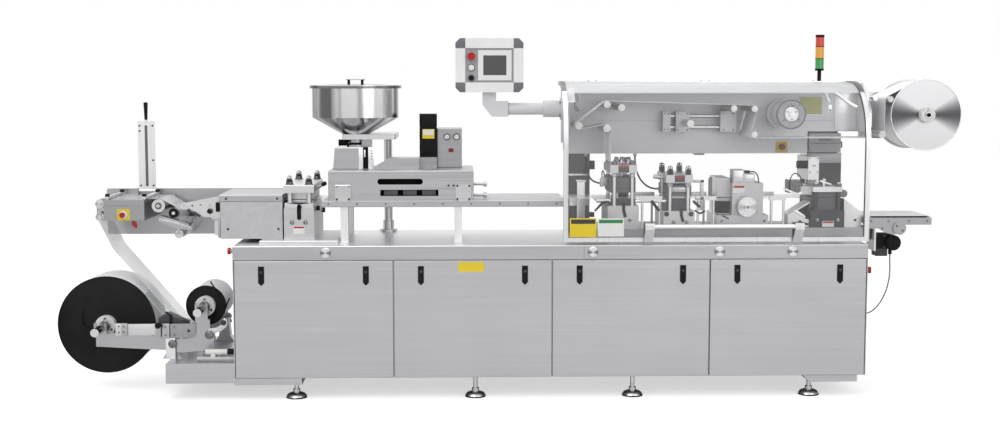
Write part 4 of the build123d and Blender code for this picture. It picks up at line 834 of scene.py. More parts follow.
    @staticmethod
    def add(name: str, finish: Finish, *pieces: bpy.types.Object,
            on: str = "cabinet_body") -> bpy.types.Object:
        """Joins pieces into one, names and dresses it and lets it ride on the body of a CAD node.

        Args:
            name: Name of the whole.
            finish: Its finish.
            pieces: What it is joined from.
            on: CAD node whose body carries it.

        Returns:
            The piece.
        """
        piece = Bench.join(*pieces)
        piece.name = name
        piece.data.name = name
        Bench.take(piece)
        bpy.ops.object.shade_smooth_by_angle(angle=math.radians(32))
        Paintbox.dress(piece, finish)
        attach(piece, node(on)["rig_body"])
        log.info("built %s", name)
        return piece


class Head(Enum):
    """Kinds of heads that a fastener can have."""

    CAP = "cap screw"
    HEXAGON = "hexagon bolt"
    BUTTON = "button"
    KNOB = "knob"


@dataclass(frozen=True)
class Fastener:
    """Screws, bolts or knobs of one kind and size."""

    radius: float
    height: float
    head: Head = Head.CAP

    def fit(self, name: str, finish: Finish, places: Iterable[Place], axis: Axis = Axis.FRONT,
            on: str = "cabinet_body") -> None:
        """Puts copies on their places and hands them over as one piece.

        Args:
            name: Name of the piece.
            finish: Its finish.
            places: Foot of each copy, measured as spot() does.
            axis: Way that they face.
            on: CAD node whose body carries them.
        """
        shapes = {Head.CAP: self.cap_screw, Head.HEXAGON: self.hexagon, Head.BUTTON: self.button,
                  Head.KNOB: self.knob}
        Bench.add(name, finish, Bench.copies(shapes[self.head](), places, axis), on=on)

    def cap_screw(self) -> bpy.types.Object:
        """Socket-head screw: a low head with a six-sided recess."""
        head = Bench.turned(((self.radius, 0.0), (self.radius, self.height),
                             (self.radius * 0.55, self.height)), 24)
        for face in head.data.polygons:
            face.select = face.normal.z > 0.99 and math.hypot(face.center.x, face.center.y) < 1e-4
        bpy.ops.object.mode_set(mode="EDIT")
        bpy.ops.mesh.extrude_region_move(TRANSFORM_OT_translate={"value": (0.0, 0.0, -self.height * 0.6)})
        bpy.ops.object.mode_set(mode="OBJECT")
        return Bench.soften(head, self.radius * 0.08, 1)

    def hexagon(self) -> bpy.types.Object:
        """Hexagon bolt head on a round washer."""
        nut = Bench.turned(((self.radius, self.height * 0.25), (self.radius, self.height),
                            (self.radius * 0.72, self.height * 1.12)), 6, self.radius * 0.06)
        washer = Bench.turned(((self.radius * 1.35, 0.0), (self.radius * 1.35, self.height * 0.25)), 28,
                              self.radius * 0.05)
        return Bench.join(nut, washer)

    def button(self) -> bpy.types.Object:
        """Round head with a domed top."""
        return Bench.turned(((self.radius, 0.0), (self.radius, self.height * 0.55),
                             (self.radius * 0.86, self.height * 0.85), (self.radius * 0.5, self.height)), 28)

    def knob(self) -> bpy.types.Object:
        """Thumb knob with flutes round its rim."""
        body = Bench.turned(((self.radius * 0.55, 0.0), (self.radius * 0.6, self.height * 0.35),
                             (self.radius, self.height * 0.4), (self.radius, self.height * 0.9),
                             (self.radius * 0.8, self.height)), 24)
        for face in body.data.polygons:
            around = math.degrees(math.atan2(face.center.y, face.center.x)) % 30.0
            face.select = abs(face.normal.z) < 0.1 and face.center.z > self.height * 0.4 and around < 15.0
        bpy.ops.object.mode_set(mode="EDIT")
        bpy.ops.mesh.extrude_region_shrink_fatten(TRANSFORM_OT_shrink_fatten={"value": -self.radius * 0.08})
        bpy.ops.object.mode_set(mode="OBJECT")
        return body


@dataclass(frozen=True)
class TallNut:
    """Tall domed nut cover with straight sides, dark below, with a painted highlight as its bright top."""

    radius: float = 0.0152
    sides: float = 0.026
    top: float = 0.0185

    def build(self, name: str, places: Sequence[Place]) -> None:
        """Stands copies of the nut cover on their places.

        Args:
            name: Name from which those of the two pieces are made.
            places: Foot of each nut cover, from the cabinet's left end, front and floor.
        """
        high = self.sides + self.top
        neck = self.radius - 0.001
        shell = Bench.turned(((self.radius, 0.0), (self.radius, self.sides - 0.002),
                              (neck, self.sides - 0.0018), (neck, self.sides)))
        dome = Bench.turned(((self.radius - 0.0004, self.sides), (neck, self.sides + 0.008),
                             (self.radius * 0.7, high - 0.0035), (self.radius * 0.26, high)))
        Bench.add(f"{name}_sides", NUT_STEEL, Bench.copies(shell, places, Axis.UP))
        # painted highlight: the dome gets a bright finish
        Bench.add(f"{name}_tops", POLISHED, Bench.copies(dome, places, Axis.UP))


@dataclass
class NamePlate:
    """Bare plate on a surface that faces the front, with a coloured header where it has one."""

    name: str
    low: Pair
    high: Pair
    face: float
    finish: Finish
    header: Finish | None = None
    header_share: float = 0.25
    carried_by: str = "cabinet_body"
    thickness: float = 0.0016

    def build(self) -> None:
        """Builds the plate with a raised rim line and dresses it."""
        plate = Bench.block((self.low[0], self.face - self.thickness, self.low[1]),
                            (self.high[0], self.face, self.high[1]), self.thickness * 0.3)
        border = min(self.high[0] - self.low[0], self.high[1] - self.low[1]) * 0.06
        front = max(plate.data.polygons, key=lambda face: face.area if face.normal.y < -0.9 else 0.0).index
        for face in plate.data.polygons:
            face.select = face.index == front
        bpy.context.tool_settings.mesh_select_mode = (False, False, True)
        bpy.ops.object.mode_set(mode="EDIT")
        bpy.ops.mesh.inset(thickness=border, depth=-self.thickness * 0.25)
        if self.header is not None:
            split = self.high[1] - (self.high[1] - self.low[1]) * self.header_share
            bpy.ops.mesh.bisect(plane_co=spot(0.0, 0.0, split), plane_no=(0.0, 0.0, 1.0))
        bpy.ops.object.mode_set(mode="OBJECT")
        Bench.add(self.name, self.finish, plate, on=self.carried_by)
        if self.header is not None:
            inner = spot(0.0, self.face - self.thickness * 0.8, 0.0).y
            Paintbox.patch(plate, self.header,
                           lambda place, normal: normal.y < -0.9 and place.z > split and place.y > inner)


@dataclass
class Cabinet:
    """Cabinet, deck and doors, with their plates, screws and latches."""

    width: float = 3.02
    cap_centres: tuple[float, ...] = (0.438, 1.703, 2.307, 2.657)
    tab_centres: tuple[float, ...] = (1.703, 2.657)
    cap_height: float = 0.708
    band: Pair = (0.675, 0.741)
    seam: float = 1.703
    door_count: int = 4
    door_top: float = 0.67
    latch_inset: float = 0.13

    def build(self) -> None:
        """Dresses the cabinet and adds what sits on it."""
        for name in ("cabinet_body", "front_doors", "rear_doors", "base_beams"):
            Paintbox.dress(node(name), STEEL)
        Paintbox.coat("deck", DECK_STEEL, (BAND_STEEL, facing(Axis.FRONT)))
        for number, x in enumerate(self.cap_centres):
            rule = round_y(x, self.cap_height, 0.026)
            # turned caps: rings, and painted reflection fans
            turned = TurnedDiscPaintedFans(
                f"turned_cap_painted_fans_{number}", (x, 0.0, self.cap_height), (0.8, 0.8, 0.81), (0.22, 0.22, 0.225),
                0.28, 900.0, fan_start=0.5)
            Paintbox.patch(
                node("deck"), turned,
                lambda place, normal, rule=rule: place.y < FRONT - 0.001 and rule(place, normal))
        Paintbox.patch(node("base_beams"), DULL_STEEL, region((-0.19, 0.04, 0.183), (0.0, 0.08, 0.215)))
        Paintbox.coat("door_latches", BLACK)
        Paintbox.coat("levelling_feet", POLISHED_UP, (BLACK, level(-1.0, 0.008)))
        Paintbox.coat("emergency_stops", RED, (
            GREY_PAINT, lambda place, normal: place.x < LEFT and place.x > LEFT - 0.018))
        self.pointers()
        self.latch_screws()
        self.seam_line()
        NamePlate("door_plate", (1.064, 0.616), (1.186, 0.663), 0.0, YELLOW).build()

    def pointers(self) -> None:
        """Small pointer tabs over two of the caps."""
        Bench.add(
            "cap_pointers", WHITE_PLASTIC,
            *(Bench.outline(
                  ((x - 0.006, 0.733), (x + 0.006, 0.733), (x + 0.004, 0.7405), (x - 0.004, 0.7405)),
                  -0.004, 0.0015, 0.0005) for x in self.tab_centres))

    def latch_screws(self) -> None:
        """Recessed turn key in each latch."""
        pitch = (self.width - 0.008) / self.door_count
        places = []
        for number in range(self.door_count):
            door = 0.004 + number * pitch
            places += [(x, -0.004, self.door_top - 0.052)
                       for x in (door + self.latch_inset, door + pitch - self.latch_inset)]
        Fastener(0.0075, 0.0025).fit("latch_keys", DARK_GREY, places)

    def seam_line(self) -> None:
        """Butt seam where the two lengths of the deck band meet."""
        low, high = self.band
        Bench.add("band_seam", DARK_GREY, Bench.block(
            (self.seam - 0.043, -0.0005, low + 0.002), (self.seam - 0.0415, 0.0006, high - 0.006), 0.0002))


@dataclass
class Unwind:
    """Film reels on their arms, with clips, clamps and the film guide."""

    arm_face: float = 0.11
    disc_face: float = 0.237
    film_reel: Pair = (-0.655, 0.33)
    spare_reel: Pair = (-0.171, 0.423)

    def build(self) -> None:
        """Dresses the unwind and adds its small pieces."""
        Paintbox.coat("unwind_arms", FEEDER_STEEL)
        for reel, roll, (x, z), outer in (("film_reel", "film_roll", self.film_reel, 0.238),
                                          ("spare_reel", "spare_roll", self.spare_reel, 0.098)):
            Paintbox.dress(node(reel), BLACK_SATIN)
            Paintbox.patch(node(reel), WHITE_PLASTIC, round_y(x, z, 0.0492))
            Paintbox.patch(node(reel), POLISHED, round_y(x, z, 0.0203))
            Paintbox.dress(node(roll), FILM_ROLL)
            # wound end of the roll: rings, and painted reflection fans
            wound = TurnedDiscPaintedFans(
                f"{roll}_end", (x, 0.0, z), (0.72, 0.72, 0.73), (0.62, 0.62, 0.63), 0.4, 900.0, 0.1, 0.0)
            Paintbox.patch(node(roll), wound, lambda place, normal: abs(normal.y) > 0.9)
            self.hub_screws(reel, x, z)
            self.rim(reel, x, z, outer)
        Paintbox.coat("film_web_infeed", CLEAR_FILM)
        Paintbox.coat("guide_rollers", ROLLER_STEEL)
        self.clips()
        self.arm_fittings()
        self.film_guide()
        self.end_roller()

    def hub_screws(self, reel: str, x: float, z: float) -> None:
        """Three cap screws on a hub, and the nut on its shaft."""
        face = self.disc_face - 0.034
        Fastener(0.0055, 0.004).fit(
            f"{reel}_hub_screws", BOLT_STEEL,
            [(x + 0.036 * math.cos(turn), face, z + 0.036 * math.sin(turn))
             for turn in (math.radians(90), math.radians(210), math.radians(330))], on=reel)
        Bench.add(
            f"{reel}_shaft_ring", BOLT_STEEL,
            Bench.disc(
                (x, face, z), ((0.0215, 0.0), (0.027, 0.002), (0.027, 0.01), (0.024, 0.012)), 36, 0.0006),
            on=reel)

    def rim(self, reel: str, x: float, z: float, outer: float) -> None:
        """Rolled edge round the front disc."""
        Bench.add(
            f"{reel}_rim", BLACK_SATIN,
            Bench.stand(Bench.ring(outer, outer - 0.006, 0.003, 0.001, 96), (x, self.disc_face, z)),
            on=reel)

    def clips(self) -> None:
        """Bent wire clips that hold the film's end on the discs."""
        face = self.disc_face - 0.002
        Bench.add(
            "film_reel_clip", BLACK,
            Bench.wire(
                ((-0.762, face, 0.398), (-0.768, face - 0.006, 0.401), (-0.772, face - 0.008, 0.36),
                 (-0.765, face - 0.008, 0.322), (-0.73, face - 0.008, 0.314),
                 (-0.692, face - 0.008, 0.322), (-0.688, face - 0.006, 0.345), (-0.692, face, 0.35)),
                0.0028), on="film_reel")
        Bench.add(
            "spare_reel_clips", BLACK,
            Bench.outline(
                ((-0.15, 0.54), (-0.144, 0.542), (-0.118, 0.503), (-0.104, 0.484), (-0.108, 0.478),
                 (-0.124, 0.499)), face - 0.0045, face - 0.0005, 0.0006),
            Bench.outline(
                ((-0.052, 0.458), (-0.058, 0.46), (-0.074, 0.428), (-0.079, 0.408), (-0.072, 0.406),
                 (-0.067, 0.426)), face - 0.0045, face - 0.0005, 0.0006), on="spare_reel")

    def arm_fittings(self) -> None:
        """Clamp bar, blocks and slide plate on the front arm."""
        face = self.arm_face
        Bench.add(
            "arm_bars", MILLED, Bench.block((-0.579, face - 0.016, 0.301), (-0.545, face + 0.002, 0.36)),
            Bench.block((-0.522, face - 0.012, 0.3), (-0.386, face + 0.002, 0.356)))
        Bench.add(
            "arm_clamps", FEEDER_STEEL,
            Bench.block((-0.551, face - 0.02, 0.302), (-0.522, face + 0.002, 0.361)),
            Bench.block((-0.387, face - 0.02, 0.292), (-0.362, face + 0.002, 0.36)),
            Bench.block((-0.358, face - 0.016, 0.286), (-0.322, face + 0.002, 0.358)))
        Bench.add("arm_slide_plate", GREY_PAINT, Bench.outline(
            ((-0.32, 0.286), (-0.214, 0.286), (-0.198, 0.3), (-0.198, 0.355), (-0.32, 0.355)),
            face - 0.008, face + 0.004))
        Fastener(0.014, 0.024, Head.KNOB).fit("arm_clamp_knob", BLACK, [(-0.372, face - 0.02, 0.352)])
        Fastener(0.0045, 0.0035).fit("arm_screws", BOLT_STEEL, [
            (x, face - depth, z)
            for x, z, depth in ((-0.562, 0.346, 0.016), (-0.562, 0.316, 0.016), (-0.537, 0.346, 0.02),
                                (-0.537, 0.318, 0.02), (-0.34, 0.342, 0.016), (-0.34, 0.302, 0.016),
                                (-0.3, 0.342, 0.008), (-0.3, 0.302, 0.008))])
        Fastener(0.0065, 0.006, Head.BUTTON).fit(
            "arm_slide_stud", DARK_GREY, [(-0.231, face - 0.008, 0.322)])
        Bench.add(
            "arm_pivot_caps", NUT_STEEL,
            *(Bench.disc(
                  (x, face - 0.009, z),
                  ((0.0205, 0.0), (0.0205, 0.003), (0.0185, 0.007), (0.012, 0.01), (0.004, 0.0112)), 32)
              for x, z in ((-0.31, 0.258), (-0.134, 0.301))))
        Bench.add("arm_roller", DARK_GREY, Bench.rod(
            (-0.064, face - 0.014, 0.36), (-0.064, face + 0.004, 0.36), 0.013))
        Bench.add("arm_roller_lever", MILLED, Bench.outline(
            ((-0.14, 0.312), (-0.11, 0.306), (-0.078, 0.318), (-0.052, 0.338), (-0.044, 0.36),
             (-0.05, 0.376), (-0.062, 0.381), (-0.07, 0.372), (-0.076, 0.35), (-0.098, 0.336),
             (-0.14, 0.33)), face - 0.004, face + 0.004))
        Bench.add("arm_front_post", MILLED_UP, Bench.block(
            (-0.344, face - 0.002, 0.182), (-0.296, face + 0.014, 0.29)))
        Bench.add("arm_post_shadow", DARK_GREY, Bench.block(
            (-0.298, face - 0.0028, 0.184), (-0.293, face - 0.0012, 0.288), 0.0003))

    def film_guide(self) -> None:
        """Wedge that guides the film's front edge, behind the front arm, and its black strap."""
        Bench.add("film_guide_wedge", DARK_GREY, Bench.outline(
            ((-0.38, 0.29), (-0.38, 0.38), (-0.342, 0.398), (-0.322, 0.39), (-0.247, 0.353),
             (-0.247, 0.29)), 0.1245, 0.222, 0.002))
        Bench.add("film_guide_strap", BLACK, Bench.outline(
            ((-0.347, 0.408), (-0.34, 0.413), (-0.312, 0.394), (-0.312, 0.3), (-0.324, 0.3),
             (-0.324, 0.392)), 0.1185, 0.125, 0.0008))

    def end_roller(self) -> None:
        """Brake cylinder under the spare reel, with its dark end."""
        Bench.add(
            "brake_cylinder", WHITE_PLASTIC,
            Bench.rod((-0.145, 0.06, 0.227), (-0.04, 0.06, 0.227), 0.0135),
            Bench.block((-0.12, 0.05, 0.184), (-0.098, 0.07, 0.216)))
        Bench.add("brake_cylinder_end", BLACK, Bench.rod(
            (-0.04, 0.06, 0.227), (-0.006, 0.06, 0.227), 0.0145))


@dataclass
class SpliceTable:
    """Splice table, its lever and the infeed rollers beside it."""

    table_face: float = 0.19
    lever_face: float = 0.5365

    def build(self) -> None:
        """Dresses the table and adds its fittings."""
        Paintbox.coat("film_wall", FEEDER_STEEL)
        Paintbox.coat("splice_table", SHADED_STEEL)
        Paintbox.coat(
            "splice_lever", MILLED_UP, (MID_GREY, region((-0.518, 0.537, 0.95), (-0.5, 0.54, 1.35))),
            (BLACK, region((-0.53, 0.5, 1.322), (-0.488, 0.6, 1.5))))
        Paintbox.coat("clamp_bars", MILLED, (BLACK, level(0.9605)))
        Paintbox.coat("roller_bracket", MILLED)
        NamePlate("stop_plate", (-0.579, 0.846), (-0.519, 0.902), self.table_face, YELLOW).build()
        Paintbox.patch(
            node("emergency_stops"), GREY_PAINT,
            lambda place, normal: place.y > spot(0, 0.1675, 0).y and place.y < spot(0, 0.1895, 0).y
            and (place.x < LEFT - 0.3))
        self.stop_ring()
        self.lever_screws()
        self.pointed_handle()
        self.roller_ends()
        self.bearing_plate()
        self.bracket_fittings()

    def stop_ring(self) -> None:
        """Pale ring round the stop button."""
        Bench.add("stop_ring", WHITE_PLASTIC, Bench.disc(
            (-0.549, self.table_face - 0.0016, 0.874),
            ((0.019, 0.0), (0.019, 0.003), (0.0155, 0.0045), (0.0155, 0.0055)), 36))

    def lever_screws(self) -> None:
        """Screws that hold the lever's facing."""
        Fastener(0.0045, 0.0035).fit(
            "lever_screws", DARK_GREY,
            [(x, self.lever_face, z)
             for x, z in ((-0.541, 1.292), (-0.541, 1.266), (-0.477, 1.292), (-0.477, 1.118),
                          (-0.477, 0.99), (-0.541, 0.99))], on="splice_lever")

    def pointed_handle(self) -> None:
        """Small red pointer that hangs at the table's lower edge."""
        Bench.add("pointer_stem", BOLT_STEEL, Bench.rod((-0.505, 0.196, 0.846), (-0.5, 0.19, 0.838), 0.004))
        Bench.add("red_pointer", RED, Bench.disc(
            (-0.504, 0.19, 0.841),
            ((0.0075, 0.0), (0.0115, 0.005), (0.012, 0.014), (0.0095, 0.024), (0.005, 0.033),
             (0.002, 0.036)), 24, axis=(0.55, -0.1, -1.0)))

    def roller_ends(self) -> None:
        """Ringed ends of the table roller and the dark bearing of the guide roller."""
        Bench.add("table_roller_end", WHITE_PLASTIC, Bench.disc(
            (-0.387, 0.22, 0.914), ((0.031, 0.0), (0.031, 0.004), (0.027, 0.005), (0.025, 0.002)), 40))
        Bench.add("table_roller_core", MID_GREY, Bench.disc(
            (-0.387, 0.22, 0.914), ((0.016, 0.0), (0.016, 0.007), (0.01, 0.008)), 32))
        Bench.add("guide_roller_bearing", BLACK, Bench.disc(
            (-0.314, 0.22, 0.879), ((0.024, 0.0), (0.024, 0.005), (0.019, 0.006), (0.012, 0.004)), 36))
        Bench.add(
            "infeed_roller_ends", POLISHED,
            *(Bench.disc((x, 0.22, z), ((0.0205, 0.0), (0.0205, 0.003), (0.01, 0.004)), 32)
              for x, z in ((-0.669, 0.861), (-0.669, 0.924), (-0.29, 0.776), (-0.133, 0.919))))

    def bearing_plate(self) -> None:
        """Dark plate behind the guide roller, and the flat tapered arm of the dancer."""
        Bench.add("bearing_plate", DARK_GREY, Bench.outline(
            ((-0.381, 0.836), (-0.268, 0.836), (-0.268, 0.905), (-0.35, 0.905), (-0.381, 0.89)), 0.506,
            0.516))
        Bench.add(
            "dancer_plate", FEEDER_STEEL,
            Bench.outline(
                ((-0.39, 0.838), (-0.386, 0.852), (-0.372, 0.855), (-0.232, 0.814), (-0.224, 0.805),
                 (-0.232, 0.796), (-0.3, 0.802), (-0.376, 0.834)), 0.21, 0.218),
            Bench.block((-0.296, 0.2105, 0.778), (-0.284, 0.2175, 0.812), 0.001))

    def bracket_fittings(self) -> None:
        """Knob, pin lever, block and angle on the roller bracket."""
        Fastener(0.013, 0.016, Head.KNOB).fit("bracket_knob", MID_GREY, [(-0.134, 0.195, 0.89)])
        Bench.add(
            "bracket_pin_lever", DARK_GREY,
            Bench.rod((-0.238, 0.189, 0.895), (-0.181, 0.187, 0.866), 0.0055),
            Bench.rod((-0.236, 0.199, 0.894), (-0.236, 0.186, 0.894), 0.008))
        Bench.add("bracket_block", BLACK, Bench.block((-0.104, 0.176, 0.888), (-0.087, 0.1955, 0.933)))
        Bench.add("bracket_angle", BLASTED, Bench.outline(
            ((-0.126, 0.848), (-0.126, 0.862), (-0.084, 0.862), (-0.084, 0.762), (-0.096, 0.762),
             (-0.096, 0.848)), 0.18, 0.1955))


@dataclass
class HeatingAndForming:
    """Heating box and forming station with their screws, lever and plate."""

    heating_face: float = 0.16
    forming_face: float = 0.15

    def build(self) -> None:
        """Dresses the two stations and adds their fittings."""
        Paintbox.coat("heating_box", BLASTED)
        Paintbox.coat("heating_cover", FEEDER_STEEL)
        Paintbox.coat(
            "forming_base", STATION_STEEL, (MILLED, region((0.117, 0.0, 0.74), (0.491, 0.145, 0.761))),
            (MILLED, region((0.225, 0.1, 0.9085), (0.372, 0.62, 0.945))),
            # painted shade inside the base's slot
            (SHADOW, region((0.286, 0.1505, 0.84), (0.312, 0.2, 0.93))))
        # press nuts: dark sides, and a painted highlight as their bright tops
        Paintbox.coat("forming_press", MILLED, (NUT_STEEL, level(1.0195, 1.04)), (POLISHED, level(1.04)))
        corners = [(x, self.heating_face, 0.806) for x in (-0.044, 0.198)]
        corners += [(x, self.heating_face - 0.004, 0.953) for x in (-0.05, 0.194)]
        Fastener(0.0055, 0.0035).fit("heating_screws", DARK_GREY, corners)
        Bench.add("heating_lid_shadow", SHADOW, Bench.block(
            (-0.082, self.heating_face - 0.003, 0.9395), (0.218, self.heating_face - 0.0005, 0.9425),
            0.0004))
        Fastener(0.0085, 0.006, Head.HEXAGON).fit("forming_bolts", BOLT_STEEL, [
            (x, self.forming_face, 0.838) for x in (0.265, 0.329)])
        NamePlate(
            "forming_plate", (0.27, 0.782), (0.325, 0.821), self.forming_face, WHITE_PLASTIC, RED,
            0.28).build()
        self.slot_lever()
        self.press_lever()
        self.side_knobs()
        self.washers()

    def slot_lever(self) -> None:
        """Dark latch that stands in the base's slot."""
        Bench.add("slot_latch", BLACK, Bench.outline(
            ((0.294, 0.852), (0.306, 0.852), (0.306, 0.892), (0.312, 0.916), (0.304, 0.921),
             (0.294, 0.896)), self.forming_face - 0.01, self.forming_face + 0.03))

    def press_lever(self) -> None:
        """Clamping lever at the press plate's right end."""
        Bench.add("press_lever_arm", BOLT_STEEL, Bench.rod((0.366, 0.2, 0.992), (0.414, 0.2, 1.02), 0.006))
        Bench.add("press_lever_grip", BLACK, Bench.disc(
            (0.404, 0.2, 1.014), ((0.006, 0.0), (0.0105, 0.006), (0.0105, 0.02), (0.006, 0.026)), 20,
            axis=(0.86, 0.0, 0.5)))

    def side_knobs(self) -> None:
        """Two black knobs on studs at the base's right end."""
        Bench.add(
            "side_knob_studs", BOLT_STEEL,
            *(Bench.rod((0.37, 0.2, z), (x, 0.2, z), 0.005) for x, z in ((0.384, 0.902), (0.408, 0.896))))
        Bench.add(
            "side_knobs", BLACK,
            *(Bench.stand(Fastener(0.012, 0.018).knob(), (x, y, z), Axis.RIGHT)
              for x, y, z in ((0.376, 0.2, 0.903), (0.4, 0.214, 0.893))))

    def washers(self) -> None:
        """Washers under the press plate's domed nuts."""
        Bench.add("press_washers", BOLT_STEEL, Bench.copies(
            Bench.turned(((0.022, 0.0), (0.022, 0.003), (0.017, 0.0036)), 32),
            [(x, y, 1.019) for x in (0.252, 0.345) for y in (0.176, 0.574)], Axis.UP))
        TallNut(0.0152, 0.022).build("press_nut", [
            (x, y, 1.0226) for x in (0.252, 0.345) for y in (0.176, 0.574)])


@dataclass
class Feeder:
    """Hopper, chute, feeder box, motor and gauges."""

    hopper: Pair = (0.56, 0.365)
    box_face: float = 0.16
    plate_face: float = 0.152
    chute_face: float = 0.29
    gauge_face: float = 0.393

    def build(self) -> None:
        """Dresses the feeder and adds its fittings."""
        middle = tuple(spot(*self.hopper, 0.0))
        # hopper drum: painted reflection bands and painted shade at its sides
        Paintbox.coat(
            "hopper",
            DrumPaintedReflection("hopper_drum_painted_reflection", (*self.hopper, 0.0), (0.74, 0.74, 0.75), (0.14, 0.14, 0.145)),
            (NUT_STEEL,
             lambda place, normal: place.z > 1.4795
             and math.hypot(place.x - middle[0], place.y - middle[1]) > 0.2135))
        Paintbox.coat("hopper_lid", POLISHED, (
            BLACK, lambda place, normal: place.z > 1.503 and abs(place.x - middle[0]) > 0.022))
        Paintbox.coat("hopper_support", MILLED)
        Paintbox.coat("vibrating_chute", FEEDER_STEEL, (BLACK, region(
            (0.47, 0.3, 1.193), (0.528, 0.43, 1.2315))))
        Paintbox.coat("sloped_cover", FEEDER_STEEL)
        Paintbox.coat("feeder_motor", BLACK)
        Paintbox.coat("gauge_box", SHADED_STEEL, (DARK_RED, region(
            (1.014, 0.39, 1.16), (1.045, 0.3999, 1.186))))
        # feeder box: painted shade inside its window
        Paintbox.coat(
            "feeder_box", FEEDER_STEEL, (SHADOW, region((0.672, 0.1605, 0.96), (0.996, 0.205, 1.05))),
            (STATION_STEEL, region((0.47, 0.15, 0.94), (1.135, 0.1599, 1.025))))
        Paintbox.coat(
            "film_track", FEEDER_STEEL,
            (FRAME_STEEL, lambda place, normal: place.z < 0.91 and normal.y < -0.9),
            (BED_STEEL, lambda place, normal: place.z < 0.91 and abs(normal.x) > 0.9))
        Paintbox.coat("film_web_formed", CLEAR_FILM)
        self.gate_gap()
        self.window_rollers()
        self.plate_screws()
        self.gauges()
        self.motor_dress()
        self.support_bolts()
        self.rail_screws()

    def gate_gap(self) -> None:
        """Frame of the chute, the dark gap of painted shade beside it with its strip, the slotted plate and a
        collar.
        """
        face = self.chute_face
        Bench.add(
            "chute_frame", FRAME_STEEL,
            Bench.outline(
                ((0.455, 1.187), (0.455, 1.194), (0.598, 1.194), (0.598, 1.187)), face - 0.003,
                face + 0.0005, 0.0006),
            Bench.block((0.578, face - 0.003, 1.087), (0.598, face + 0.0005, 1.1868), 0.0006))
        # painted shade: dark strip in the gap beside the chute
        Bench.add("chute_gap", SHADOW, Bench.block(
            (0.5985, face + 0.01, 1.087), (0.624, face + 0.012, 1.193), 0.0003))
        Bench.add("chute_strip", FRAME_STEEL, Bench.block(
            (0.603, face + 0.004, 1.145), (0.61, face + 0.01, 1.18), 0.0006))
        Bench.add("gate_standing_plate", FRAME_STEEL, Bench.block(
            (0.624, face, 1.086), (0.65, face + 0.014, 1.194)))
        Bench.add(
            "gate_plate_slots", MID_GREY,
            *(Bench.block(
                  (0.636, face - 0.0008, 1.134 + 0.013 * number),
                  (0.645, face + 0.0004, 1.138 + 0.013 * number), 0.0002) for number in range(4)))
        collar = Bench.turned(((0.0335, 0.0), (0.0335, 0.01), (0.0325, 0.011)), 48)
        Bench.add("throat_collar", BLACK, Bench.stand(collar, (*self.hopper, 1.2035), Axis.UP))

    def window_rollers(self) -> None:
        """Grey blocks behind the feeder's window."""
        low, high = ((0.69, 0.18, 0.9655), (0.966, 0.186, 0.9925))
        Bench.add(
            "window_blocks", MID_GREY,
            *(Bench.block(
                  (0.706 + 0.092 * number, low[1], low[2]), (0.772 + 0.092 * number, high[1], high[2]),
                  0.002) for number in range(3)))

    def plate_screws(self) -> None:
        """Screws at the corners of the two square plates, and a pair beside them."""
        places = []
        for middle in (0.51, 1.089):
            places += [(middle + side * 0.029, self.plate_face, z) for side in (-1, 1)
                       for z in (0.949, 1.013)]
        places += [(x, self.box_face, 1.014) for x in (1.018, 1.042)]
        Fastener(0.005, 0.0035).fit("feeder_screws", DARK_GREY, places)
        Bench.add("plate_handle", FRAME_STEEL, Bench.wire(
            [(0.474, self.plate_face, 1.014), (0.474, self.plate_face - 0.012, 1.014),
             (0.476, self.plate_face - 0.014, 1.0165), (0.544, self.plate_face - 0.014, 1.0165),
             (0.546, self.plate_face - 0.012, 1.014), (0.546, self.plate_face, 1.014)], 0.0028))

    def gauges(self) -> None:
        """White faces in dark rings on the gauge box, each with its hand."""
        for number, x in enumerate((1.009, 1.056)):
            place = (x, self.gauge_face, 1.24)
            Bench.add(
                f"gauge_ring_{number}", DARK_GREY,
                Bench.disc(
                    place,
                    ((0.0165, 0.0), (0.0165, 0.004), (0.0145, 0.005), (0.013, 0.0045), (0.013, 0.002)), 40))
            Bench.add(
                f"gauge_face_{number}", WHITE_PLASTIC,
                Bench.disc(place, ((0.0128, 0.0), (0.0128, 0.0026), (0.012, 0.0029)), 40))
            Bench.add(
                f"gauge_hand_{number}", BLACK,
                Bench.rod(
                    (x, self.gauge_face - 0.0034, 1.24), (x - 0.006, self.gauge_face - 0.0034, 1.247),
                    0.0006, 0.0001, 8))

    def motor_dress(self) -> None:
        """Bare plate on the motor, and cooling slots down its side."""
        NamePlate("motor_plate", (0.888, 1.232), (0.947, 1.279), 0.37, YELLOW, WHITE_PLASTIC, 0.6).build()
        Bench.add(
            "motor_fins", BLACK,
            *(Bench.block(
                  (0.885 + 0.009 * number, 0.3675, 1.15), (0.888 + 0.009 * number, 0.3715, 1.218), 0.0006)
              for number in range(8)))

    def support_bolts(self) -> None:
        """Bolts that hold the hopper's cone to its plate."""
        Fastener(0.0055, 0.005, Head.HEXAGON).fit(
            "hopper_bolts", BOLT_STEEL,
            [(self.hopper[0] + 0.052 * math.cos(turn), self.hopper[1] + 0.052 * math.sin(turn), 1.256)
             for turn in (math.radians(60 * step + 30) for step in range(6))], axis=Axis.UP)

    def rail_screws(self) -> None:
        """Screws along the front edge of the film track."""
        Fastener(0.0045, 0.003).fit("rail_screws", BOLT_STEEL, [
            (0.44 + 0.1375 * number, 0.15, 0.926) for number in range(9)])


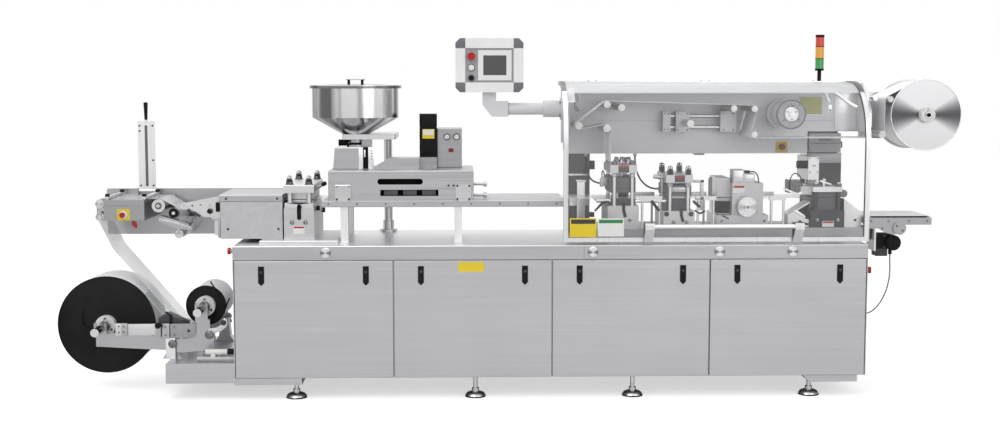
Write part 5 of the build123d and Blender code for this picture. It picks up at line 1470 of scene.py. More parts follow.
@dataclass
class Housing:
    """Upper housing with its columns, rollers, slide, take-up reel and plates."""

    face: float = 0.52
    column_face: float = 0.56
    drawer_face: float = 0.512
    roller_face: float = 0.24
    rollers: tuple[tuple[float, float, float], ...] = ((1.791, 1.402, 0.017), (1.655, 1.299, 0.017),
                                                       (1.791, 1.286, 0.018), (1.862, 1.387, 0.017),
                                                       (2.413, 1.382, 0.016), (2.514, 1.38, 0.016),
                                                       (2.515, 1.255, 0.016), (2.2, 1.308, 0.018))
    takeup: Pair = (2.708, 1.352)

    def build(self) -> None:
        """Dresses the housing and adds its fittings."""
        Paintbox.coat(
            "upper_housing", HOUSING_STEEL, (YELLOW, region((2.68, 0.515, 1.15), (2.75, 0.5185, 1.215))),
            (DARK_RED, region((2.69, 0.49, 1.165), (2.735, 0.5155, 1.2))), (DECK_STEEL, along(3.0975)))
        Paintbox.coat(
            "housing_columns", COLUMN_STEEL,
            (FRAME_STEEL, lambda place, normal: normal.x < -0.9 and place.x > spot(2.8, 0, 0).x),
            (GREY_PAINT, region((2.85, 0.5, 1.15), (3.03, 0.53, 1.26))))
        Paintbox.coat("housing_rollers", ROLLER_STEEL)
        Paintbox.coat("registration_slide", BLASTED)
        self.rail_finish()
        Paintbox.coat("foil_web", FOIL)
        self.takeup_looks()
        self.end_cover()
        self.column_lines()
        self.roller_caps()
        self.block_screws()
        self.lip()
        NamePlate("housing_plate", (2.803, 1.349), (2.917, 1.436), self.face, PALE_GREEN).build()
        NamePlate("dial_plate", (2.692, 1.163), (2.737, 1.203), 0.516, YELLOW).build()

    def rail_finish(self) -> None:
        """Polished rods and a pale roller on the slide."""
        for height in (1.285, 1.341):
            rod = region((0.0, 0.459, height - 0.0092), (4.0, 0.4795, height + 0.0092))
            Paintbox.patch(
                node("registration_slide"), POLISHED,
                lambda place, normal, rod=rod: rod(place, normal) and abs(normal.x) < 0.5)
        Paintbox.patch(node("registration_slide"), MILLED, round_y(2.2, 1.308, 0.0185))

    def takeup_looks(self) -> None:
        """Rings of the take-up reel and the screws in its hub."""
        x, z = self.takeup
        Paintbox.coat(
            "takeup_reel", MID_GREY, (WHITE, lambda place, normal: place.y > spot(0, 0.3085, 0).y),
            (MILLED, round_y(x, z, 0.0365)))
        Bench.add(
            "takeup_ring", GREY_PAINT,
            Bench.disc((x, 0.3, z), ((0.066, 0.0), (0.066, 0.0025), (0.046, 0.0035), (0.04, 0.0005)), 56),
            on="takeup_reel")
        Fastener(0.004, 0.003).fit(
            "takeup_screws", BOLT_STEEL,
            [(x + 0.024 * math.cos(turn), 0.284, z + 0.024 * math.sin(turn))
             for turn in (math.radians(120 * step + 30) for step in range(3))], on="takeup_reel")

    def end_cover(self) -> None:
        """Paler end cover on the housing's right end, and the seam along the face."""
        Bench.add("housing_end_cover", DECK_STEEL, Bench.block(
            (2.984, self.face - 0.003, 1.264), (3.0975, self.face, 1.4825)))
        Bench.add("housing_seam", MID_GREY, Bench.block(
            (1.76, self.face - 0.0008, 1.3155), (2.99, self.face + 0.0004, 1.3165), 0.0002))

    def column_lines(self) -> None:
        """Ledge, cover and clamps of the left column, and the right one's panels, grip and catch."""
        Bench.add("column_ledge", MILLED, Bench.block(
            (1.629, self.column_face - 0.004, 1.034), (1.738, self.column_face, 1.044)))
        Bench.add("column_cover", DECK_STEEL, Bench.block(
            (1.634, self.column_face - 0.004, 0.88), (1.738, self.column_face, 0.925)))
        Bench.add(
            "column_clamps", BLACK,
            *(Bench.block(
                  (1.738, self.column_face + 0.002, low), (1.764, self.column_face + 0.02, high), 0.003)
              for low, high in ((1.066, 1.111), (0.82, 0.846))))
        Bench.add("column_panel", BED_STEEL, Bench.block(
            (2.86, self.column_face - 0.003, 1.097), (3.034, self.column_face + 0.02, 1.15)))
        Bench.add("column_dark_panel", DARK_GREY, Bench.block(
            (2.86, self.column_face - 0.003, 0.8), (3.034, self.column_face + 0.02, 1.0965)))
        Bench.add(
            "drawer_grip", MID_GREY,
            Bench.block((2.905, self.drawer_face - 0.008, 1.215), (2.966, self.drawer_face, 1.222)),
            Bench.block(
                (2.858, self.drawer_face - 0.0015, 1.199), (3.013, self.drawer_face, 1.202), 0.0005))
        Bench.add("drawer_catch", BLACK, Bench.wire(
            [(3.017, 0.545, 1.208), (3.026, 0.545, 1.207), (3.031, 0.545, 1.203), (3.031, 0.545, 1.186),
             (3.03, 0.545, 1.176)], 0.0035))

    def roller_caps(self) -> None:
        """White end caps of the web rollers."""
        Bench.add(
            "web_roller_caps", WHITE_PLASTIC,
            *(Bench.disc(
                  (x, self.roller_face + 0.0005, z),
                  ((radius * 0.94, 0.0), (radius * 0.94, 0.003), (radius * 0.5, 0.004),
                   (radius * 0.42, 0.002)), 36) for x, z, radius in self.rollers))

    def block_screws(self) -> None:
        """Screws in the slide's end blocks and carriage."""
        places = [(x, 0.44, z) for x in (2.104, 2.122) for z in (1.273, 1.353)]
        places += [(x, 0.44, z) for x in (2.4, 2.448) for z in (1.273, 1.353)]
        places += [(x, 0.43, z) for x in (2.168, 2.214) for z in (1.272, 1.354)]
        Fastener(0.005, 0.0035).fit("slide_screws", BOLT_STEEL, places)

    def lip(self) -> None:
        """Small catch under the housing's lower edge."""
        Bench.add("housing_lip", MID_GREY, Bench.outline(
            ((2.264, 1.1492), (2.323, 1.1492), (2.316, 1.141), (2.271, 1.141)), 0.522, 0.56))


@dataclass
class Guard:
    """Clear guard with its tubes, bracket, grip ends and plates."""

    sheet_face: float = 0.0155
    bend_y: float = 0.31
    bend_z: float = 1.216
    bend: float = 0.292

    def build(self) -> None:
        """Dresses the guard and adds its fittings; all of it turns with the guard."""
        Paintbox.coat("guard_frame", TUBE_STEEL)
        Paintbox.coat("guard_panel", ACRYLIC)
        NamePlate(
            "guard_plate_dark", (1.593, 0.777), (1.72, 0.868), self.sheet_face, YELLOW, DARK_GREY, 0.3,
            "guard_frame").build()
        NamePlate(
            "guard_plate_green", (1.726, 0.78), (1.851, 0.866), self.sheet_face, WHITE_PLASTIC, GREEN,
            0.26, "guard_frame").build()
        self.bracket()
        self.lift_handle()
        self.knuckle_screws()

    def on_sheet(self, z: float, lift: float) -> float:
        """Depth behind the cabinet's front of a point just off the curved sheet, at a height."""
        rise = max(0.0, z - self.bend_z)
        return self.bend_y - math.sqrt(max(0.0, (self.bend + lift) ** 2 - rise ** 2))

    def bracket(self) -> None:
        """Bracket with a grey inset that stiffens the left tube, behind the sheet, and the catch under it."""
        near = self.on_sheet(1.414, -0.012)
        far = self.on_sheet(1.484, -0.012)
        for name, left, right, lift, finish in (("guard_bracket", 1.5835, 1.65, 0.0, MILLED),
                                                ("guard_bracket_inset", 1.627, 1.648, 0.0035, MID_GREY)):
            plate = Bench.block((left, near + 0.012 - lift, 1.414), (right, near + 0.018 - lift, 1.484))
            for corner in plate.data.vertices:
                corner.co.y += (far - near) * (corner.co.z - 1.414) / 0.07
            Bench.add(name, finish, plate, on="guard_frame")
        catch = self.on_sheet(1.39, -0.014)
        Bench.add(
            "guard_catch", DARK_GREY,
            Bench.wire(
                [(1.622, catch + 0.004, 1.416), (1.619, catch, 1.408), (1.622, catch, 1.376),
                 (1.64, catch, 1.373), (1.634, catch, 1.386), (1.625, catch, 1.396)], 0.0026),
            on="guard_frame")

    def lift_handle(self) -> None:
        """Bent stay in the guard's upper right corner, behind the sheet."""
        turn = self.on_sheet(1.475, -0.016)
        left_foot = self.on_sheet(1.417, -0.016)
        right_foot = self.on_sheet(1.396, -0.016)
        Bench.add(
            "guard_stay", FRAME_STEEL,
            Bench.wire(
                [(2.846, left_foot, 1.417), (2.846, left_foot, 1.417), (2.853, turn, 1.462),
                 (2.858, turn, 1.478), (2.882, turn, 1.478), (2.898, turn, 1.461),
                 (2.954, right_foot, 1.398), (2.978, right_foot, 1.393)], 0.008), on="guard_frame")
        low = self.on_sheet(1.372, -0.018)
        Bench.add(
            "guard_stay_tab", MILLED, Bench.block((2.834, low, 1.366), (2.852, low + 0.005, 1.402)),
            on="guard_frame")
        Fastener(0.0042, 0.002, Head.BUTTON).fit(
            "guard_stay_screw", DARK_GREY, [(2.844, low, 1.376)], on="guard_frame")

    def knuckle_screws(self) -> None:
        """Screws beside each knuckle of the hinge, on the guard's rear rail."""
        Fastener(0.005, 0.003, Head.BUTTON).fit(
            "hinge_screws", BOLT_STEEL,
            [(x + side * 0.02, 0.385, 1.5158) for x in (1.73, 2.293, 2.856) for side in (-1, 1)],
            axis=Axis.UP, on="guard_frame")


@dataclass
class Stations:
    """Bed with the heat-sealing and embossing stations."""

    front: float = 0.22

    def build(self) -> None:
        """Dresses the bed and the two stations, and adds their fittings."""
        Paintbox.coat("station_bed", BED_STEEL, (FRAME_STEEL, level(0.8005)), (DECK_STEEL, level(0.93)))
        for name, nuts in (("heat_seal_station", 1.1085), ("emboss_station", 1.0595)):
            Paintbox.dress(node(name), STATION_STEEL)
            # nuts: dark sides, and a painted highlight as their bright tops
            Paintbox.patch(node(name), NUT_STEEL, level(nuts))
            Paintbox.patch(node(name), POLISHED, level(nuts + 0.022))
        Paintbox.patch(
            node("heat_seal_station"), DARK_BLASTED, region((1.805, 0.24, 0.97), (1.94, 0.51, 1.046)))
        Paintbox.patch(
            node("heat_seal_station"), DARK_GREY, region((1.805, 0.24, 0.9085), (1.94, 0.51, 0.9405)))
        Paintbox.patch(
            node("emboss_station"), DARK_BLASTED, region((2.079, 0.24, 0.95), (2.214, 0.51, 1.006)))
        Paintbox.patch(
            node("emboss_station"), DARK_GREY, region((2.079, 0.24, 0.8825), (2.214, 0.51, 0.9405)))
        posts = [(x, y) for x in (1.828, 1.916) for y in (0.234, 0.516)]
        Paintbox.patch(node("heat_seal_station"), TUBE_STEEL, round_z(posts, 0.0095, 0.909, 1.068))
        posts = [(x, y) for x in (2.102, 2.191) for y in (0.234, 0.516)]
        Paintbox.patch(node("emboss_station"), TUBE_STEEL, round_z(posts, 0.0095, 0.883, 1.019))
        self.front_plates()
        self.heater_block()
        self.base_bolts()
        self.base_lever()
        self.dials()
        self.side_bars()
        self.web_post()
        self.collars()
        self.tall_nuts()
        self.press_springs()
        self.film_entry()
        self.hand_levers()

    def collars(self) -> None:
        """Ringed collars on the front posts, under the press plates."""
        for name, middles, top in (("heat_collars", (1.828, 1.916), 1.0685),
                                   ("emboss_collars", (2.102, 2.191), 1.0195)):
            Bench.add(name, BLASTED, Bench.copies(
                Bench.turned(((0.0115, 0.0), (0.0135, 0.003), (0.0135, 0.016), (0.0115, 0.019)), 32),
                [(x, 0.234, top - 0.0195) for x in middles], Axis.UP))

    def tall_nuts(self) -> None:
        """Tall domed caps over the four nuts of the embossing station."""
        TallNut().build("emboss_nut", [(x, y, 1.0592) for x in (2.102, 2.191) for y in (0.234, 0.516)])

    def press_springs(self) -> None:
        """Bell-shaped spring covers that stand on the heated press plate between its nuts."""
        Bench.add("press_springs", NUT_STEEL, Bench.copies(
            Bench.turned(
                ((0.021, 0.0), (0.021, 0.003), (0.016, 0.014), (0.011, 0.026), (0.01, 0.036)), 32),
            [(x, 0.3, 1.1082) for x in (1.845, 1.872, 1.905)], Axis.UP))

    def film_entry(self) -> None:
        """Flat guide under the film before the heat-sealing station, and the bar to the embossing station."""
        Bench.add("film_entry_guide", FRAME_STEEL, Bench.block(
            (1.742, 0.25, 0.9255), (1.8135, 0.5, 0.9375)))
        Bench.add("film_entry_edge", DARK_GREY, Bench.block(
            (1.742, 0.249, 0.9215), (1.8135, 0.252, 0.9253), 0.0004))
        Bench.add("film_bar", MILLED, Bench.rod((1.9305, 0.2385, 0.93), (2.0835, 0.2385, 0.93), 0.0085))

    def hand_levers(self) -> None:
        """Black clamping levers at the two stations' feet, and the small parts beside them."""
        Bench.add(
            "hand_levers", BLACK,
            *(Bench.outline(points, 0.222, 0.232, 0.0012)
              for points in (((2.009, 0.934), (2.018, 0.934), (2.052, 0.89), (2.052, 0.882), (2.04, 0.882),
                              (2.006, 0.926)),
                             ((1.734, 0.878), (1.73, 0.886), (1.764, 0.926), (1.8, 0.934), (1.806, 0.926),
                              (1.772, 0.916)),
                             ((2.213, 0.934), (2.222, 0.934), (2.25, 0.908), (2.25, 0.898), (2.24, 0.898),
                              (2.213, 0.924)))))
        Bench.add(
            "lever_feet", NUT_STEEL, Bench.block((2.04, 0.223, 0.8815), (2.0465, 0.2315, 0.8985), 0.0006),
            Bench.block((1.782, 0.223, 0.9075), (1.7945, 0.2315, 0.9305), 0.0006))
        Bench.add("cable_bracket", BLASTED, Bench.outline(
            ((1.771, 0.992), (1.771, 1.036), (1.806, 1.04), (1.8065, 0.9985)), 0.34, 0.38))
        Bench.add("cable_horn", BLACK, Bench.wire(
            [(1.78, 0.352, 1.036), (1.778, 0.352, 1.06), (1.784, 0.352, 1.076), (1.79, 0.352, 1.062),
             (1.791, 0.352, 1.036)], 0.003))
        Bench.add(
            "emboss_fitting", BLASTED, Bench.rod((2.03, 0.3, 1.047), (2.0785, 0.3, 1.04), 0.0105),
            Bench.rod((2.072, 0.3, 1.04), (2.072, 0.3, 0.8825), 0.0075))
        Bench.add("emboss_die_block", FEEDER_STEEL, Bench.block(
            (2.112, 0.2405, 0.9735), (2.184, 0.2462, 0.9975)))
        Bench.add("emboss_latch", BLACK, Bench.outline(
            ((2.149, 0.898), (2.163, 0.898), (2.163, 0.866), (2.171, 0.832), (2.16, 0.828), (2.15, 0.862)),
            self.front - 0.009, self.front + 0.001))

    def front_plates(self) -> None:
        """Bare plates on the press plates, dark with a red strip."""
        NamePlate("heat_plate", (1.846, 1.071), (1.898, 1.106), 0.218, DARK_GREY, RED, 0.3).build()
        NamePlate("emboss_plate", (2.122, 1.023), (2.172, 1.057), 0.218, DARK_GREY, RED, 0.3).build()

    def heater_block(self) -> None:
        """Black block under the heated plate, in front of the film, and the lines of the dies."""
        Bench.add("heater_block", BLACK, Bench.block((1.848, 0.2405, 0.947), (1.897, 0.2465, 0.971)))
        lines = [Bench.block((1.808, 0.2452, z), (1.936, 0.2463, z + 0.0015), 0.0003)
                 for z in (0.99, 1.022)]
        lines += [Bench.block((2.082, 0.2452, z), (2.211, 0.2463, z + 0.0015), 0.0003)
                  for z in (0.968, 0.987)]
        Bench.add("die_lines", SHADOW, *lines)

    def base_bolts(self) -> None:
        """Bolts in the faces of the two bases."""
        Fastener(0.0075, 0.005, Head.HEXAGON).fit("base_bolts", BOLT_STEEL, [
            (x, self.front, z)
            for x, z in ((1.812, 0.838), (1.904, 0.839), (2.119, 0.828), (2.183, 0.828))])

    def base_lever(self) -> None:
        """Black lever that hangs on the heat-sealing station's base."""
        Bench.add("base_lever", BLACK, Bench.outline(
            ((1.866, 0.924), (1.88, 0.924), (1.88, 0.89), (1.888, 0.855), (1.876, 0.85), (1.867, 0.884)),
            self.front - 0.01, self.front + 0.002))

    def dials(self) -> None:
        """Black hand knobs between the base and the dies of the embossing station."""
        Fastener(0.011, 0.016, Head.KNOB).fit("base_knobs", BLACK, [
            (x, self.front, 0.868) for x in (2.084, 2.204)])

    def side_bars(self) -> None:
        """Upright bars to the right of the embossing station, in front of the film."""
        Bench.add(
            "film_bridge", FEEDER_STEEL, Bench.block((2.25, 0.228, 0.884), (2.268, 0.243, 1.034)),
            Bench.block((2.226, 0.228, 0.936), (2.268, 0.243, 0.948)),
            Bench.block((2.213, 0.228, 1.02), (2.268, 0.243, 1.034)))
        Bench.add("film_gauge_bar", MID_GREY, Bench.outline(
            ((2.291, 0.934), (2.309, 0.934), (2.309, 1.049), (2.299, 1.049), (2.291, 1.04)), 0.231, 0.243))
        Bench.add("bridge_clamp", BLACK, Bench.wire(
            [(2.226, 0.236, 0.884), (2.236, 0.236, 0.876), (2.25, 0.236, 0.868), (2.262, 0.236, 0.872),
             (2.276, 0.236, 0.882)], 0.005))

    def web_post(self) -> None:
        """Grey post at the left of the stations, on the bed."""
        Bench.add(
            "web_post", MILLED, Bench.block((1.667, 0.474, 0.798), (1.706, 0.498, 1.012)),
            Bench.block((1.662, 0.47, 1.008), (1.711, 0.502, 1.018)))


@dataclass
class Traction:
    """Traction unit with its hand disc and plates."""

    body_face: float = 0.235
    disc: Pair = (2.479, 0.902)

    def build(self) -> None:
        """Dresses the unit and adds its fittings."""
        Paintbox.coat(
            "traction_unit", BLASTED, (FRAME_STEEL, along(0.0, 2.3495)),
            # painted shade in the dark opening below the film rail
            (SHADOW, region((2.346, 0.2905, 0.8625), (2.4095, 0.385, 0.9255))))
        x, z = self.disc
        # hand disc: rings, and painted reflection fans
        turned = TurnedDiscPaintedFans(
            "turned_hand_disc_painted_fans", (x, 0.0, z), (0.82, 0.82, 0.83), (0.5, 0.5, 0.51), 0.3, 800.0)
        Paintbox.coat("hand_disc", turned)
        NamePlate(
            "traction_plate", (2.413, 0.969), (2.471, 1.008), self.body_face, WHITE_PLASTIC, RED,
            0.36).build()
        self.caps()
        self.plug()
        self.disc_marks()
        self.foot_lines()

    def caps(self) -> None:
        """Raised covers on the two caps."""
        Bench.add(
            "traction_covers", MILLED, Bench.block((2.419, 0.243, 1.024), (2.464, 0.246, 1.076)),
            Bench.block((2.472, 0.243, 1.022), (2.517, 0.246, 1.058)))

    def plug(self) -> None:
        """Black plug and lead of the second cap."""
        Bench.add(
            "traction_plug", BLACK, Bench.block((2.474, 0.262, 1.062), (2.5, 0.284, 1.078)),
            Bench.wire(
                [(2.5, 0.272, 1.071), (2.516, 0.272, 1.073), (2.532, 0.272, 1.066), (2.541, 0.272, 1.052),
                 (2.546, 0.272, 1.03), (2.546, 0.272, 1.016)], 0.0032))

    def disc_marks(self) -> None:
        """Rim and hub screw of the hand disc."""
        x, z = self.disc
        Bench.add(
            "hand_disc_rim", POLISHED, Bench.stand(Bench.ring(0.0485, 0.0445, 0.0016), (x, 0.204, z)),
            on="hand_disc")
        Fastener(0.007, 0.004).fit("hand_disc_screw", BOLT_STEEL, [(x, 0.194, z)], on="hand_disc")

    def foot_lines(self) -> None:
        """Black slot of painted shade on the foot's left shoulder, and the foot's screws."""
        Bench.add("foot_slot", SHADOW, Bench.outline(
            ((2.35, 0.8595), (2.366, 0.8595), (2.392, 0.8455), (2.392, 0.842), (2.384, 0.842)), 0.219,
            0.2206, 0.0003))
        Fastener(0.006, 0.004).fit("foot_screws", BOLT_STEEL, [(x, 0.22, 0.832) for x in (2.356, 2.566)])


@dataclass
class Punch:
    """Punching station with its drive, coil, covers and plates."""

    base_face: float = 0.22

    def build(self) -> None:
        """Dresses the station and adds its fittings."""
        Paintbox.coat(
            "punch_station", BLASTED, (MILLED, along(2.9625)),
            (MILLED, region((2.68, 0.238, 0.799), (2.7945, 0.362, 0.93))),
            (DARK_GREY, region((2.79, 0.21, 0.799), (2.9625, 0.54, 0.8825))),
            (DARK_BLASTED, region((2.815, 0.24, 0.881), (2.945, 0.51, 0.974))),
            (DECK_STEEL, region((2.8, 0.22, 0.9735), (2.955, 0.53, 0.9995))),
            (BLACK, region((2.745, 0.315, 1.08), (2.7995, 0.365, 1.125))),
            (NUT_STEEL, region((2.688, 0.2585, 0.965), (2.7535, 0.3305, 1.032))),
            (MILLED, region((2.798, 0.298, 1.028), (2.853, 0.531, 1.143))))
        nuts = [(x, y) for x in (2.823, 2.935) for y in (0.234, 0.516)]
        # nuts: dark sides, and a painted highlight as their bright tops
        Paintbox.patch(node("punch_station"), NUT_STEEL, round_z(nuts, 0.018, 0.9995, 1.016))
        Paintbox.patch(node("punch_station"), FRAME_STEEL, round_z(nuts, 0.018, 1.016, 1.035))
        Paintbox.patch(node("punch_station"), DARK_GREY, round_z(nuts, 0.0095, 0.883, 0.9735))
        NamePlate(
            "punch_plate", (2.853, 0.802), (2.911, 0.831), self.base_face, WHITE_PLASTIC, RED,
            0.36).build()
        self.bolts()
        self.tray()
        self.lead()
        self.side_cover()
        self.tool_end()
        self.chute_dress()

    def bolts(self) -> None:
        """Bolts in the base's face and in the drive's cover."""
        Fastener(0.0065, 0.0045, Head.HEXAGON).fit("punch_bolts", BOLT_STEEL, [
            (x, self.base_face, 0.836) for x in (2.829, 2.93)])
        small = [(x, 0.3, z) for x, z in ((2.806, 1.134), (2.845, 1.134), (2.806, 1.066), (2.845, 1.066))]
        small += [(x, 0.3, 1.098) for x in (2.822, 2.832)]
        Fastener(0.0032, 0.002).fit("drive_screws", DARK_GREY, small)

    def tray(self) -> None:
        """Tilted tray in front of the coil."""
        Bench.add(
            "coil_tray", DECK_STEEL,
            Bench.outline(
                ((2.664, 0.986), (2.668, 0.993), (2.728, 0.968), (2.757, 0.966), (2.757, 0.959),
                 (2.724, 0.959)), 0.246, 0.258, 0.001),
            Bench.block((2.742, 0.25, 0.958), (2.757, 0.262, 0.972)))
        Bench.add(
            "coil_bands", MID_GREY,
            *(Bench.block(
                  (2.6885 + 0.0152 * step, 0.2585, 0.972), (2.6925 + 0.0152 * step, 0.2602, 1.028), 0.0004)
              for step in range(5)))

    def lead(self) -> None:
        """Black lead that loops over the coil."""
        Bench.add("coil_lead", BLACK, Bench.wire(
            [(2.699, 0.256, 0.975), (2.694, 0.256, 1.0), (2.7, 0.262, 1.034), (2.714, 0.27, 1.06),
             (2.734, 0.27, 1.064), (2.752, 0.268, 1.048), (2.758, 0.262, 1.02), (2.758, 0.258, 0.998)],
            0.0028))

    def side_cover(self) -> None:
        """Black button on the sloped cover at the right."""
        Fastener(0.006, 0.003, Head.BUTTON).fit("cover_button", SHADOW, [(3.018, 0.23, 0.834)])

    def tool_end(self) -> None:
        """Rounded weight at the tool plate's right end, and levers on its top."""
        Bench.add("tool_weight", MID_GREY, Bench.disc(
            (2.961, 0.274, 0.964), ((0.017, 0.0), (0.019, 0.004), (0.019, 0.036), (0.017, 0.04)), 32))
        Bench.add(
            "tool_lever", FRAME_STEEL, Bench.rod((2.858, 0.3, 1.024), (2.916, 0.3, 1.004), 0.005),
            Bench.rod((2.878, 0.3, 0.998), (2.878, 0.3, 1.022), 0.006),
            Bench.disc(
                (2.878, 0.3, 1.018), ((0.006, 0.0), (0.01, 0.005), (0.01, 0.011), (0.005, 0.017)), 24,
                axis=Axis.UP))

    def chute_dress(self) -> None:
        """Dark slot of painted shade in the scrap chute's face, and its black latch."""
        Bench.add(
            "scrap_slots", SHADOW,
            *(Bench.outline(points, 0.2372, 0.2402, 0.0004)
              for points in (((2.738, 0.815), (2.738, 0.828), (2.748, 0.834), (2.762, 0.824),
                              (2.79, 0.818), (2.79, 0.808), (2.756, 0.812)),
                             ((2.736, 0.882), (2.792, 0.916), (2.792, 0.838), (2.776, 0.84), (2.768, 0.86)))))
        Bench.add("scrap_rim", FRAME_STEEL, Bench.outline(
            ((2.713, 0.881), (2.718, 0.886), (2.774, 0.854), (2.771, 0.842)), 0.2352, 0.2402, 0.0008))


@dataclass
class ControlPanel:
    """Operator panel with its screen, buttons and corner blocks; it turns on its arm."""

    left: float = 1.0525
    right: float = 1.3835
    low: float = 1.461
    high: float = 1.723
    border: float = 0.048
    face: float = 0.26
    recess: float = 0.268

    def build(self) -> None:
        """Dresses the panel and its arm and adds their fittings."""
        Paintbox.coat("control_panel", WHITE)
        Paintbox.coat("panel_arm", PIPE_PAINT)
        Paintbox.patch(
            node("control_panel"), GREY_PAINT,
            lambda place, normal: abs(place.y - spot(0, self.recess, 0).y) < 0.0005)
        Paintbox.patch(
            node("control_panel"), WHITE_PLASTIC,
            lambda place, normal: abs(place.y - spot(0, self.face + 0.001, 0).y) < 0.0004
            and place.x > spot(1.155, 0, 0).x and (normal.y < -0.9))
        Paintbox.patch(
            node("control_panel"), SCREEN,
            lambda place, normal: abs(place.y - spot(0, self.face + 0.003, 0).y) < 0.0004
            and normal.y < -0.9)
        for height, radius, finish in ((1.636, 0.0195, RED), (1.581, 0.0145, WHITE_PLASTIC),
                                       (1.531, 0.0125, BLACK)):
            rule = round_y(1.1295, height, radius)
            Paintbox.patch(
                node("control_panel"), finish,
                lambda place, normal, rule=rule: rule(place, normal)
                and place.y < spot(0, self.recess - 0.0005, 0).y)
        self.corners()
        self.button_rings()
        self.arm_fittings()

    def corners(self) -> None:
        """Dark corner blocks of the case."""
        places = ((self.left, self.low, 1, 1), (self.right, self.low, -1, 1),
                  (self.left, self.high, 1, -1), (self.right, self.high, -1, -1))
        blocks = []
        for x, z, across, up in places:
            cut, size = (0.022, self.border)
            points = [(x + across * cut, z), (x + across * size, z), (x + across * size, z + up * size),
                      (x, z + up * size), (x, z + up * cut)]
            blocks.append(Bench.outline(
                points if across * up > 0 else points[::-1], self.face - 0.0012, self.face + 0.0008,
                0.0004))
        Bench.add("panel_corners", MID_GREY, *blocks, on="control_panel")

    def button_rings(self) -> None:
        """Rings round the three buttons."""
        Bench.add(
            "button_rings", MID_GREY,
            *(Bench.disc(
                  (1.1295, self.recess, z),
                  ((radius + 0.0045, 0.0), (radius + 0.0045, 0.003), (radius + 0.0008, 0.004),
                   (radius + 0.0008, 0.001)), 36) for z, radius in ((1.581, 0.014), (1.531, 0.012))),
            on="control_panel")
        Bench.add(
            "stop_base", GREY_PAINT,
            Bench.disc((1.1295, self.recess, 1.636), ((0.023, 0.0), (0.023, 0.006), (0.0135, 0.008)), 36),
            on="control_panel")

    def arm_fittings(self) -> None:
        """Grey joint ring on the arm, and the screws of its flange."""
        Bench.add("arm_ring", GREY_PAINT, Bench.rod(
            (1.3095, 0.32, 1.38), (1.314, 0.32, 1.38), 0.0315, 0.0008, 48))
        Fastener(0.006, 0.005).fit(
            "flange_screws", BOLT_STEEL,
            [(1.567, 0.32 + 0.046 * math.cos(turn), 1.38 + 0.046 * math.sin(turn))
             for turn in (math.radians(90 * step + 45) for step in range(4))], axis=Axis.LEFT)


@dataclass
class StackLight:
    """Signal lamp on the housing."""

    foot: float = 1.57
    pitch: float = 0.062
    place: Pair = (2.929, 0.63)

    def build(self) -> None:
        """Dresses the lamp tier by tier and adds its cap."""
        stack = node("stack_light")
        Paintbox.dress(stack, BLACK)
        for number, finish in enumerate((LAMP_GREEN, LAMP_AMBER, LAMP_RED)):
            low = self.foot + self.pitch * number + (0.012 if number == 0 else 0.0)
            high = self.foot + self.pitch * (number + 1)
            Paintbox.patch(stack, finish, level(low, high))
        Bench.add(
            "stack_bands", BLACK,
            *(Bench.disc(
                  (*self.place, self.foot + lift), ((0.0225, 0.0), (0.0225, tall), (0.0205, tall + 0.001)),
                  40, axis=Axis.UP)
              for lift, tall in ((0.0, 0.01), (0.0595, 0.003), (0.1215, 0.003), (0.171, 0.011))))
        Paintbox.patch(stack, POLISHED_UP, level(-1.0, 1.5135))
        foot = Bench.turned(((0.03, 0.0), (0.03, 0.004), (0.02, 0.01), (0.0135, 0.012)), 40)
        Bench.add("stack_foot", FEEDER_STEEL, Bench.stand(foot, (*self.place, 1.5052), Axis.UP))


@dataclass
class FoilReel:
    """Foil reel on its arm at the right end."""

    centre: Pair = (3.359, 1.351)
    disc_face: float = 0.238
    hub_face: float = 0.208

    def build(self) -> None:
        """Dresses the reel and its arm and adds their fittings."""
        x, z = self.centre
        # reel disc and wound foil end: rings, and painted reflection fans
        turned = TurnedDiscPaintedFans(
            "turned_reel_disc_painted_fans", (x, 0.0, z), (0.6, 0.6, 0.61), (0.085, 0.085, 0.09), 0.34, 500.0,
            fan_start=0.68)
        wound = TurnedDiscPaintedFans("wound_foil_end_painted_fans", (x, 0.0, z), (0.6, 0.6, 0.6), (0.4, 0.4, 0.4), 0.4, 1200.0)
        Paintbox.coat("foil_reel", turned, (WHITE_PLASTIC, round_y(x, z, 0.0375)))
        Paintbox.coat("foil_roll", wound, (FOIL, lambda place, normal: abs(normal.y) < 0.5))
        Paintbox.coat("foil_arm", MILLED)
        Bench.add("foil_shaft_nut", BLACK, Bench.disc(
            (x, 0.198, z), ((0.0105, 0.0), (0.0105, 0.009), (0.009, 0.01)), 6, 0.0006))
        Bench.add(
            "foil_hub_ring", WHITE_PLASTIC,
            Bench.disc(
                (x, self.hub_face, z),
                ((0.0335, 0.0), (0.0335, 0.0035), (0.024, 0.005), (0.0185, 0.005), (0.0185, 0.001)), 48),
            on="foil_reel")
        Bench.add(
            "foil_reel_rim", POLISHED,
            Bench.stand(Bench.ring(0.1755, 0.1715, 0.0018, 0.0006, 96), (x, self.disc_face, z)),
            on="foil_reel")
        Bench.add(
            "foil_roller_caps", WHITE_PLASTIC,
            *(Bench.disc(
                  (place, 0.2205, height),
                  ((radius * 0.94, 0.0), (radius * 0.94, 0.003), (radius * 0.5, 0.004)), 32)
              for place, height, radius in ((3.176, 1.428, 0.015), (3.14, 1.255, 0.018))))
        Bench.add("foil_idle_roller", FRAME_STEEL, Bench.rod(
            (3.118, 0.27, 1.43), (3.118, 0.522, 1.43), 0.013))


